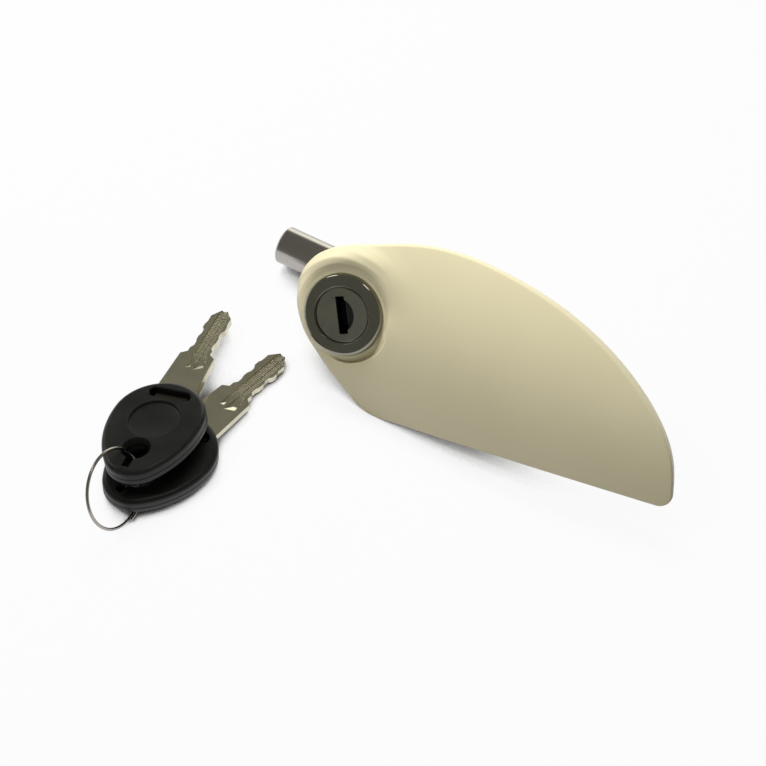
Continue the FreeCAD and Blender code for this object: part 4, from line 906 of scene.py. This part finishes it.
def head_blank(p, where):
    """The head as one closed surface, from the disc's middle on top over the edge to the disc's middle below.

    The recess is turned, then the circle blends into the egg by the share of the way, the edge is a quarter
    round, and a parting groove runs round the middle.
    """
    half, edge, disc = p.thickness / MM / 2, p.edge / MM, p.disc / MM
    egg = head_outline(p, edge)
    bearing = np.arctan2(egg[:, 1], egg[:, 0])
    circle = np.stack([np.cos(bearing), np.sin(bearing)], -1)
    recess = (
        (SKIN, -RECESS_SINK),
        (disc - 0.5, -RECESS_SINK),
        (disc - 0.2, -RECESS_SINK + 0.10),
        (disc - 0.06, -0.12),
        (disc + 0.08, 0.03),
        (disc + 0.45, 0.0),
    )
    upper = [at_height(circle * r, half + z) for r, z in recess]
    start = circle * (disc + 0.45)
    for share in np.linspace(0, 1, 8)[1:]:
        upper.append(at_height(start * (1 - share) + egg * share, half - DROP_TO_EDGE * share**3))
    for a in np.linspace(0, math.pi / 2, 8)[1:]:
        level = half - DROP_TO_EDGE - (edge - DROP_TO_EDGE) * (1 - math.cos(a))
        upper.append(at_height(head_outline(p, edge * (1 - math.sin(a))), level))
    groove = ((0.0, 0.32), (0.10, 0.16), (0.10, -0.16), (0.0, -0.32))
    parting = [at_height(head_outline(p, inset), z) for inset, z in groove]
    lower = [row * np.array((1, 1, -1)) for row in reversed(upper)]
    return swept("blank", np.stack([*upper, *parting, *lower]), where, closed=False, sharp=40.0)


def ring_hole_cutter(p, where):
    """What the ring hole takes away: a turned form that flares to both faces."""
    half, hole = p.thickness / MM / 2, p.hole / MM
    flared = hole + HOLE_FLARE
    side = (
        (SKIN, -half - CUTTER_OVER),
        (flared + CUTTER_OVER, -half - CUTTER_OVER),
        (flared, -half + SKIN),
        (hole + 0.25, -half + HOLE_FLARE_DEPTH),
        (hole, -half + HOLE_FLARE_DEPTH + 0.4),
    )
    profile = np.array(side + tuple((r, -z) for r, z in reversed(side)))
    return turned("hole", profile, (where[0] + where[1] @ np.array((0, HOLE_PLACE, 0)), where[1]), 72)


def window_cutter(p, where):
    """What the oval window takes away: two half rounds and straights between, wider at both faces."""
    half, r = p.thickness / MM / 2, WINDOW_WIDTH / 2
    straight = (WINDOW_LENGTH - WINDOW_WIDTH) / 2
    a = np.linspace(-math.pi / 2, math.pi / 2, 14)
    right = np.stack([straight + r * np.cos(a), WINDOW_PLACE + r * np.sin(a)], -1)
    oval = np.concatenate([right, right[::-1] * np.array((-1, 1))])
    spread = oval - np.array((0, WINDOW_PLACE))
    tall = spread[:, 1] / r
    away = np.stack([np.sign(spread[:, 0]) * np.cos(np.arcsin(np.clip(tall, -1, 1))), tall], -1)
    bottom = ((-half - CUTTER_OVER, 0.45), (-half, 0.28), (-half + 0.3, 0.0))
    levels = bottom + tuple((-z, grow) for z, grow in reversed(bottom))
    sections = np.stack([at_height(oval + away * grow, z) for z, grow in levels])
    return swept("window", sections, where, closed=False)


def key_head_mesh(p, where):
    """The head with its ring hole, its window and the slot behind the hole."""
    half = p.thickness / MM / 2
    outline = rounded_profile(box_outline(*SLOT_BEHIND), (0.3,) * 4)
    slot = prism("slot", outline, half - SLOT_DEPTH, half + CUTTER_OVER, 0.0, where)
    return boolean_cut(head_blank(p, where), [ring_hole_cutter(p, where), window_cutter(p, where), slot])


# Key blade, in mm along the key from the middle of its disc: shoulder, tip and the end inside the head.
# Both edges have the same cuts, each given by its depth in steps. The surface is fine from the run-outs of
# the channels on.
SHOULDER, TIP, BLADE_START, FINE_START, STATION = 26.3, 45.3, -4.0, 20.3, 0.075
CUTS, CUT_START, CUT_APART, CUT_LENGTH, CUT_STEP = (0, 2, 1, 2, 0, 1), 1.2, 2.5, 1.375, 0.35
# Half the blade's thickness, its bevel, and how far out its columns keep their places and then reach.
BLADE_HALF, BLADE_BEVEL, EVEN_PART, COLUMN_REACH = 1.1, 0.12, 2.36, 3.9
# The cutter's marks on the channels' floors, and the scored line at the first channel's side.
MARK_DEPTH, MARK_LENGTH = 0.022, 0.6
SCORE_PLACE, SCORE_WIDTH, SCORE_DEPTH = 0.85, 0.11, 0.3
CHANNEL_DEPTH, FACET_SLOPE = 0.55, 0.29
# Channels of the blade, in mm from its middle line and from the shoulder: the two ends of the run-out's
# base (across, along), the apex of its bright facet (across, along), and the channel's sides further on.
CHANNELS = (
    ((0.85, -5.7), (3.60, -4.30), (3.05, -1.60), (0.85, 2.30)),
    ((-1.07, -5.03), (0.03, -4.75), (-0.10, -3.20), (-1.15, 0.85)),
)


def channel_depth(x, along, base_start, base_end, apex, sides):
    """Depth of one milled channel under the blade's flat.

    From the base line a facet goes down towards the tip by the slope. It ends at the line from the base's
    start to the apex, and beyond that line and past the apex the channel has its full depth between its two
    sides.
    """
    low_x, wide = base_start[0], smoothstep(along, base_end[1], apex[1])
    high_x = base_end[0] + (apex[0] - base_end[0]) * wide
    start = base_start[1] + (x - low_x) * (base_end[1] - base_start[1]) / (base_end[0] - base_start[0])
    seam = base_start[1] + (x - low_x) * (apex[1] - base_start[1]) / (apex[0] - base_start[0])
    within = (x > low_x) & (x < high_x)
    facet = np.where(within, np.clip((along - start) * FACET_SLOPE, 0, CHANNEL_DEPTH), 0)
    beyond = CHANNEL_DEPTH * np.clip((along - seam) / 0.25, 0, 1)
    run_out = np.maximum(facet, np.where(within & (along > seam), beyond, 0))
    left = sides[0]
    right = apex[0] + (sides[1] - apex[0]) * smoothstep(along, apex[1], apex[1] + 2.2)
    between = smoothstep(x, left - 0.06, left + 0.06) * (1 - smoothstep(x, right - 0.06, right + 0.06))
    return np.where(along < apex[1], run_out, CHANNEL_DEPTH * between)


def milled_depth(x, along):
    """The deepest channel at each point, a fine wave of cutter's marks on its floor, and a scored line."""
    depth = np.zeros_like(x)
    for channel in CHANNELS:
        depth = np.maximum(depth, channel_depth(x, along, *channel))
    floor = smoothstep(depth, 0.50, CHANNEL_DEPTH) * smoothstep(along, -1.5, 0.0)
    depth = depth + floor * MARK_DEPTH * np.sin(2 * math.pi * along / MARK_LENGTH)
    score = SCORE_DEPTH * np.exp(-(((x - SCORE_PLACE) / SCORE_WIDTH) ** 2))
    return depth + score * smoothstep(along, -3.5, -1.0)


def blade_edge(half):
    """The blade's edge as corners of (along, half width): stem in the head, shoulder, cuts and tip."""
    corners = [(BLADE_START, 3.8), (7.4, 3.8), (12.0, 5.5), (13.0, 5.5)]
    corners += [(SHOULDER - 0.15, 5.0), (SHOULDER, 4.85), (SHOULDER + 1.05, half + 0.05)]
    for number, depth in enumerate(CUTS):
        y = SHOULDER + CUT_START + number * CUT_APART
        corners += [(y, half - depth * CUT_STEP), (y + CUT_LENGTH, half - depth * CUT_STEP)]
    corners += [(SHOULDER + 16.2, half - 0.3), (TIP - 0.15, 0.95), (TIP, 0.75)]
    return np.array(corners)


def blade_columns(reach):
    """Places across the blade at each station, out to its reach.

    The even part keeps its places where the reach has room for it and shrinks with the reach where it
    hasn't. The rest is spread from there to the reach. Four extra columns stand at the sides of the
    channels' crisp walls.
    """
    even = np.concatenate([np.linspace(-EVEN_PART, EVEN_PART, 76), np.array((-1.21, -1.09, 0.76, 0.94))])
    left, right = -np.linspace(COLUMN_REACH, EVEN_PART, 9)[:-1], np.linspace(EVEN_PART, COLUMN_REACH, 9)[1:]
    column = np.concatenate([left, np.unique(np.round(even, 4)), right])[None, :]
    side, least = np.abs(column), EVEN_PART + 0.1
    outside = (side - EVEN_PART) * (np.maximum(reach, least) - EVEN_PART) / (COLUMN_REACH - EVEN_PART)
    places = np.where(side > EVEN_PART, EVEN_PART + outside, side)
    return np.sign(column) * places * np.minimum(1, reach / least)


def key_blade_mesh(p, where):
    """The blade: stations along y, each a section across x, z = half the thickness less the milling."""
    edge = blade_edge(p.blade / MM / 2)
    plain = np.linspace(BLADE_START, FINE_START, 40)
    y = np.unique(np.concatenate([plain, np.arange(FINE_START, TIP, STATION), edge[:, 0]]))[:, None]
    side = np.interp(y, edge[:, 0], edge[:, 1])
    x = blade_columns(side - BLADE_BEVEL)
    z = BLADE_HALF - milled_depth(x, np.broadcast_to(y, x.shape) - SHOULDER)
    x = np.concatenate([-side, x, side], 1)
    z = np.pad(z, ((0, 0), (1, 1)), constant_values=BLADE_HALF - BLADE_BEVEL)
    y = np.broadcast_to(y, x.shape)
    upper, lower = np.stack([x, y, z], -1), np.stack([x, y, -z], -1)[:, ::-1]
    return swept("blade", np.concatenate([upper, lower], 1), where, closed=False, sharp=28.0)


# Barrel face

# In mm: the bezel's levels from the barrel's face and its seat on the collar, the cap's levels, the levels
# between which the keyhole is cut, and the circle of the step beside the slot with the guard in it.
BEZEL_BACK, BEZEL_DROP, BEZEL_LEDGE, BEZEL_SEAT = -1.7, 1.55, -0.5, 8.62
CAP_TOP, CAP_CHAMFER, CAP_BACK = -0.35, -0.58, -1.55
CUTTER = (-3, 2)
ARC_MIDDLE, STEP_ARC, GUARD_ARC, GUARD_SIDE, GUARD_TOP = -1.3, 4.7, 4.68, 2.52, -0.85


def bezel_mesh(p):
    """The bezel: a flat face, and a shoulder that is a quarter of an ellipse down to the pad."""
    outer, bore, width = p.bezel_radius / MM, p.bezel_bore / MM, p.shoulder / MM
    quarter = np.linspace(0, math.pi / 2, 17)[:, None]
    flat = outer - width
    shoulder = np.hstack([flat + width * np.sin(quarter), BEZEL_DROP * (np.cos(quarter) - 1)])
    inside = ((BEZEL_SEAT, BEZEL_BACK), (BEZEL_SEAT, BEZEL_LEDGE), (bore, BEZEL_LEDGE), (bore, 0.0))
    rest = rounded_profile(((outer, BEZEL_BACK), *inside, (flat, 0.0)), (0, 0, 0, 0, 0.1, 0))[:-1]
    return turned("bezel", np.concatenate([shoulder, rest]), LOCK, 256)


def arc_segment(radius, side, count):
    """The piece of a circle about the arc's middle that lies side or more to its right."""
    reach = math.acos(side / radius)
    turn = np.linspace(-reach, reach, count)
    return np.stack([ARC_MIDDLE + radius * np.cos(turn), radius * np.sin(turn)], -1)


def cap_mesh(p):
    """The plug's cap: a chamfered disc less the slot and the step, whose straight side is in the slot."""
    cap = p.cap_radius / MM
    top = ((SKIN, CAP_TOP), (cap - 0.75, CAP_TOP), (cap - 0.36, CAP_TOP), (cap - 0.08, CAP_CHAMFER))
    corners = (*top, (cap - 0.08, CAP_BACK), (SKIN, CAP_BACK))
    disc = turned("cap", rounded_profile(corners, (0, 0, 0.12, 0.12, 0, 0), 5), PLUG, 256)
    half, long = p.slot_width / MM / 2, p.slot_length / MM / 2
    outline = rounded_profile(box_outline(-half, half, -long, long), (0.25,) * 4)
    slot = prism("slot", outline, *CUTTER, 0.0, PLUG)
    step = prism("step", arc_segment(STEP_ARC, half - 0.1 - ARC_MIDDLE, 80), *CUTTER, 0.0, PLUG)
    return boolean_cut(disc, [slot, step], flat=True)


def guard_mesh():
    """The guard: a half-round insert with a soft edge."""
    outline = arc_segment(GUARD_ARC, GUARD_SIDE, 60)
    return prism("guard_insert", outline, CAP_BACK, GUARD_TOP, 0.3, PLUG, steps=6)


# Operators


class HANDLE_OT_leaf(bpy.types.Operator):
    """Builds the moulded leaf with its boss, socket and ribs"""

    bl_idname = "handle.leaf"
    bl_label = "Leaf handle"

    def execute(self, context):
        p = context.scene.handle_leaf
        finish = ivory_moulding(p.tone, p.shade)
        new_piece("leaf_shell", leaf_shell(p), "lock", finish, ("leaf_handle",))
        for name, make in (("shaft_socket", shaft_socket), ("saddle", saddle), ("long_rib", long_rib)):
            new_piece(name, make(), "lock", finish)
        for x in CROSS_RIBS:
            name = f"cross_rib_{int(x)}"
            new_piece(name, cross_rib(name, x, p), "lock", finish)
        return {"FINISHED"}


class HANDLE_OT_shaft(bpy.types.Operator):
    """Builds the drive shaft"""

    bl_idname = "handle.shaft"
    bl_label = "Drive shaft"

    def execute(self, context):
        p = context.scene.handle_shaft
        r, seat, end, bevel = p.radius / MM, p.seat_radius / MM, p.end / MM, p.bevel / MM
        shoulder = p.shoulder / MM
        free_end = ((SKIN, 0.0), (r - bevel, 0.0), (r, bevel), (r, shoulder))
        corners = (*free_end, (seat, shoulder), (seat, end), (SKIN, end))
        profile = rounded_profile(corners, (0, 0.15, 0.15, 0.1, 0.05, 0.1, 0), 3)
        bar = turned("drive_shaft_bar", profile, (np.zeros(3), turn_about("y", 90)))
        finish = metal("shaft_steel", p.steel, 0.22, grain=(0.06, 1, 1), scale=700.0, bump=0.08)
        new_piece("drive_shaft_bar", bar, "lock", finish, ("drive_shaft",))
        return {"FINISHED"}


class HANDLE_OT_barrel(bpy.types.Operator):
    """Builds the bezel, the plug's cap and the guard"""

    bl_idname = "handle.barrel"
    bl_label = "Barrel face"

    def execute(self, context):
        p = context.scene.handle_barrel
        chrome = metal("bezel_chrome", p.chrome, 0.09, scale=500.0, bump=0.02, spread=0.04, shade=0.92)
        new_piece("bezel", bezel_mesh(p), "lock", chrome, ("bezel_ring",))
        steel = metal("cap_steel", p.cap, 0.30, scale=900.0, bump=0.10, spread=0.14)
        new_piece("plug_face", cap_mesh(p), "plug", steel, ("plug_cap",))
        hard = metal("guard_steel", p.guard, 0.30, scale=900.0, bump=0.15)
        new_piece("guard_insert", guard_mesh(), "plug", hard, ("keyway_guard",))
        return {"FINISHED"}


NODE_FINISHES = {
    "shaft_pin": ("pin_steel", (0.40, 0.40, 0.41), 0.35),
    "barrel_housing": ("housing_metal", (0.55, 0.53, 0.47), 0.3),
    "barrel_clip": ("spring_steel", (0.50, 0.50, 0.50), 0.28),
    "plug": ("plug_brass", (0.62, 0.50, 0.26), 0.28),
    "dust_shutter": ("shutter_steel", (0.012, 0.012, 0.012), 0.45),
    "shutter_pin": ("pin_steel", (0.40, 0.40, 0.41), 0.35),
    "shutter_spring": ("spring_steel", (0.50, 0.50, 0.50), 0.28),
    "wafer_comb_spring": ("spring_steel", (0.50, 0.50, 0.50), 0.28),
    "hook_cam": ("cam_steel", (0.55, 0.56, 0.56), 0.3),
    "cam_washer": ("screw_steel", (0.58, 0.58, 0.57), 0.26),
    "cam_screw": ("screw_steel", (0.58, 0.58, 0.57), 0.26),
}


# Painted shade: the plug's keyway behind the cap is blackened for the shade deep in the keyhole, fading out
# from 9 to 12 mm behind the face.
KEYWAY_PAINTED_SHADE = (LOCK[0] * MM, LOCK[1][:, 2], -0.012, -0.009, (0.006, 0.006, 0.006))


class HANDLE_OT_fittings(bpy.types.Operator):
    """Gives the solids that stay as they are their metals and rubber"""

    bl_idname = "handle.fittings"
    bl_label = "Fittings"

    def execute(self, context):
        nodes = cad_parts
        made = {}
        for name, (slot, tone, roughness) in NODE_FINISHES.items():
            key = (slot, tone)
            if key not in made:
                # The plug's metal carries the painted shade of the keyway.
                made[key] = metal(slot, tone, roughness, painted_shade=KEYWAY_PAINTED_SHADE if name == "plug" else None)
            give(nodes[name], made[key])
        wafers = metal("wafer_brass", (0.68, 0.55, 0.28), 0.25)
        for number in range(1, 7):
            give(nodes[f"wafer_{number}"], wafers)
        give(nodes["barrel_seal"], rubber("seal_rubber", (0.03, 0.03, 0.03)))
        return {"FINISHED"}


def give(node, material):
    """Replaces a node's finish."""
    node.data.materials.clear()
    node.data.materials.append(material)


class HANDLE_OT_keys(bpy.types.Operator):
    """Builds both keys"""

    bl_idname = "handle.keys"
    bl_label = "Keys"

    def execute(self, context):
        p = context.scene.handle_keys
        plastic = black_moulding(p.plastic)
        for which, where, body in (("lower", LOWER_KEY, "lock"), ("upper", UPPER_KEY, "upper_key")):
            # Painted shade darkens the blade inside the head, where it shows through the window, and ends
            # from 11.5 to 12.5 mm along the key.
            window_painted_shade = (where[0] * MM, where[1][:, 1], 0.0125, 0.0115, (0.10, 0.095, 0.07))
            name = f"{which}_key_steel"
            steel = metal(name, p.steel, 0.24, scale=900.0, bump=0.06, spread=0.10, shade=0.9, painted_shade=window_painted_shade)
            name = f"{which}_key_blank"
            new_piece(name, key_blade_mesh(p, where), body, steel, (f"{which}_key_blade",))
            name = f"{which}_key_grip"
            new_piece(name, key_head_mesh(p, where), body, plastic, (f"{which}_key_head",))
        return {"FINISHED"}


# The split ring's outer end lies on the turn between these bearings, in degrees, thinner at its two tips.
RING_END, TIP_SHARE = (-6, 13), 0.55


def wire_along(p, bearings, share, drop):
    """A wire on the ring's circle: (r cos a, r sin a, w sin b - drop), with r = radius + w cos b."""
    a = bearings[:, None]
    b = np.linspace(0, 2 * math.pi, 20, endpoint=False)[None, :]
    wire = p.wire / MM * share[:, None]
    r = p.radius / MM + wire * np.cos(b)
    return np.stack([r * np.cos(a), r * np.sin(a), wire * np.sin(b) - drop], -1)


class HANDLE_OT_ring(bpy.types.Operator):
    """Builds the wire ring"""

    bl_idname = "handle.ring"
    bl_label = "Wire ring"

    def execute(self, context):
        p = context.scene.handle_ring
        finish = metal("ring_steel", p.steel, 0.22, scale=700.0)
        bearings = np.linspace(0, 2 * math.pi, 240, endpoint=False)
        turn = swept("wire_ring", wire_along(p, bearings, np.ones(240), 0.0), RING)
        new_piece("wire_ring", turn, "key_ring", finish, ("key_ring",))
        bearings = np.radians(np.linspace(*RING_END, 24))
        taper = np.array((TIP_SHARE, *np.ones(22), TIP_SHARE))
        end = swept("ring_end", wire_along(p, bearings, taper, 2 * p.wire / MM), RING, closed=False)
        new_piece("ring_end", end, "key_ring", finish)
        return {"FINISHED"}


# What shines in polished metal: direction, the cosines between which it fades in, and strength. The first
# is the dim room all round, the next the bright wall behind the object, then two small windows.
ROOM = (
    ((0.0, 0.0, 1.0), -1.2, -1.1, 0.20),
    ((-0.20, 0.97, 0.12), 0.89, 0.95, 1.70),
    ((-0.844, 0.162, 0.510), 0.978, 0.992, 3.5),
    ((0.169, 0.166, 0.971), 0.984, 0.994, 3.5),
)
ROOM_TONE, EVEN_LIGHT = (1.0, 0.99, 0.88, 1), 0.10
# Name, place, what it looks at, side in metres and power of each lamp.
LAMPS = (
    ("sky_lamp", (-0.20, 0.22, 0.62), (0.05, -0.02, 0.0), 0.30, 6.0),
    ("left_lamp", (-0.35, -0.29, 0.665), (0.04, -0.03, 0.0), 0.08, 2.8),
)
SENSOR = 36.0
# The floor in metres: half its side, the object's lowest point and its gap below that.
FLOOR_REACH, LOWEST, FLOOR_GAP = 2, -0.0077, 0.00005
# The floor glows white where more than these shares of the sky over it are open, and then by GLOW.
OPEN_SKY, GLOW = (0.38, 0.58), 0.93


def stand(item, axes, place):
    """Puts a camera or a lamp at a place, with its right, up and back axes as columns."""
    matrix = np.eye(4)
    matrix[:3, :3] = axes
    matrix[:3, 3] = place
    item.matrix_world = Matrix(matrix.tolist())


class HANDLE_OT_stage(bpy.types.Operator):
    """Sets the floor, the lamps and the camera"""

    bl_idname = "handle.stage"
    bl_label = "Stage"

    def execute(self, context):
        p = context.scene.handle_stage
        scene = context.scene
        scene.view_settings.view_transform = "Standard"
        self.camera(scene, p)
        self.floor(p)
        self.lamps()
        self.world(scene)
        return {"FINISHED"}

    def camera(self, scene, p):
        """Right, up and back axes from turn, rise and roll; the barrel's face lands on its row and column."""
        flat = math.cos(p.rise)
        back = np.array((math.sin(p.turn) * flat, -math.cos(p.turn) * flat, math.sin(p.rise)))
        right = np.array((math.cos(p.turn), math.sin(p.turn), 0.0))
        up = np.cross(back, right)
        c, s = math.cos(p.roll), math.sin(p.roll)
        axes = np.stack([c * right + s * up, -s * right + c * up, back], 1)
        data = bpy.data.cameras.new("camera")
        data.sensor_width = SENSOR
        data.lens = p.lens
        data.clip_start = 0.01
        across, down = (np.array((p.column, p.row)) - p.width / 2) / (p.lens / SENSOR * p.width) * p.distance
        camera = add_object("camera", data)
        stand(camera, axes, LOCK[0] * MM - axes @ np.array((across, -down, -p.distance)))
        scene.camera = camera

    def floor(self, p):
        """A wide flat sheet just under the object.

        It glows white to the camera and in reflections, but for a share that keeps the object's shadow.
        Close under the object, where little of the sky is open, the glow fades out and the sheet shows its
        real shade.
        """
        u = np.linspace(-FLOOR_REACH, FLOOR_REACH, 9)
        x, y = np.meshgrid(u, u, indexing="ij")
        low = min(CAD_BOX[0][2], LOWEST) - FLOOR_GAP
        points = np.stack([x.ravel(), y.ravel(), np.full(x.size, low)], -1)
        mesh = bpy.data.meshes.new("floor")
        mesh.from_pydata(points.tolist(), [], grid_faces(9, 9, False, False).tolist())
        sheet = add_object("floor", mesh)
        finish = Finish("floor_paper").set(Roughness=0.9, Specular_IOR_Level=0.0)
        finish.colour_between(finish.noise(scale=30.0), (0.3, mixed(p.floor, 0.99)), (0.7, p.floor))
        tree, path = finish.tree, finish.node("ShaderNodeLightPath").outputs
        seen = combined(tree, "MAXIMUM", path["Is Camera Ray"], path["Is Glossy Ray"])
        glow = finish.node("ShaderNodeEmission", Strength=1.0, Color=(1, 1, 1, 1)).outputs["Emission"]
        sky = finish.node("ShaderNodeAmbientOcclusion", Distance=0.02, samples=8).outputs["AO"]
        clear = ranged(tree, sky, *OPEN_SKY, 0.0, GLOW, interpolation_type="SMOOTHSTEP")
        share = combined(tree, "MULTIPLY", seen, clear)
        surface = blended(tree, share, finish.shader.outputs["BSDF"], glow)
        finish.join(surface, tree.nodes["Material Output"].inputs["Surface"])
        mesh.materials.append(finish.material)

    def lamps(self):
        """A large soft lamp above and behind, and a small one at the left for the barrel's shadow."""
        for name, place, target, size, power in LAMPS:
            data = bpy.data.lights.new(name, "AREA")
            data.shape = "SQUARE"
            data.size = size
            data.energy = power
            lamp = add_object(name, data)
            lamp.visible_glossy = False
            back = np.array(place) - np.array(target)
            back /= np.linalg.norm(back)
            right = np.cross((0, 0, 1), back)
            right /= np.linalg.norm(right)
            stand(lamp, np.stack([right, np.cross(back, right), back], 1), place)

    def world(self, scene):
        """White to the camera, even light on the object, and for gloss a room with a bright wall behind."""
        world = bpy.data.worlds.new("studio")
        scene.world = world
        world.use_nodes = True
        tree = world.node_tree

        def backdrop(strength, tone=(1, 1, 1, 1)):
            """Light of one tone from all round."""
            return add_node(tree, "ShaderNodeBackground", Color=tone, Strength=strength)

        direction = add_node(tree, "ShaderNodeTexCoord").outputs["Generated"]
        total = None
        for toward, dim, bright, strength in ROOM:
            facing = dot(tree, direction, toward)
            band = ranged(tree, facing, dim, bright, 0.0, strength, interpolation_type="SMOOTHSTEP")
            total = band if total is None else combined(tree, "ADD", total, band)
        room = backdrop(1.0, ROOM_TONE)
        tree.links.new(total, room.inputs["Strength"])
        even, white = backdrop(EVEN_LIGHT).outputs[0], backdrop(1.0).outputs[0]
        path = add_node(tree, "ShaderNodeLightPath").outputs
        light = blended(tree, path["Is Glossy Ray"], even, room.outputs[0])
        seen = blended(tree, path["Is Camera Ray"], light, white)
        tree.links.new(seen, tree.nodes["World Output"].inputs["Surface"])


class HANDLE_PT_panel(bpy.types.Panel):
    """Lists the pieces' operators"""

    bl_idname = "HANDLE_PT_panel"
    bl_label = "Keyed leaf handle"
    bl_space_type = "VIEW_3D"
    bl_region_type = "UI"
    bl_category = "Handle"

    def draw(self, context):
        for operator in OPERATORS:
            self.layout.operator(operator.bl_idname)


SETTINGS = {
    "handle_leaf": LeafSettings,
    "handle_barrel": BarrelSettings,
    "handle_shaft": ShaftSettings,
    "handle_keys": KeySettings,
    "handle_ring": RingSettings,
    "handle_stage": StageSettings,
}
OPERATORS = (
    HANDLE_OT_stage,
    HANDLE_OT_leaf,
    HANDLE_OT_shaft,
    HANDLE_OT_barrel,
    HANDLE_OT_fittings,
    HANDLE_OT_keys,
    HANDLE_OT_ring,
)


def register():
    for group in SETTINGS.values():
        bpy.utils.register_class(group)
    for name, group in SETTINGS.items():
        setattr(bpy.types.Scene, name, PointerProperty(type=group))
    for item in (*OPERATORS, HANDLE_PT_panel):
        bpy.utils.register_class(item)


def unregister():
    for item in (HANDLE_PT_panel, *reversed(OPERATORS)):
        bpy.utils.unregister_class(item)
    for name, group in SETTINGS.items():
        delattr(bpy.types.Scene, name)
        bpy.utils.unregister_class(group)


def main():
    """Builds all pieces."""
    register()
    bpy.ops.handle.stage()
    bpy.ops.handle.leaf()
    bpy.ops.handle.shaft()
    bpy.ops.handle.barrel()
    bpy.ops.handle.fittings()
    bpy.ops.handle.keys()
    bpy.ops.handle.ring()


if __name__ == "__main__":
    main()
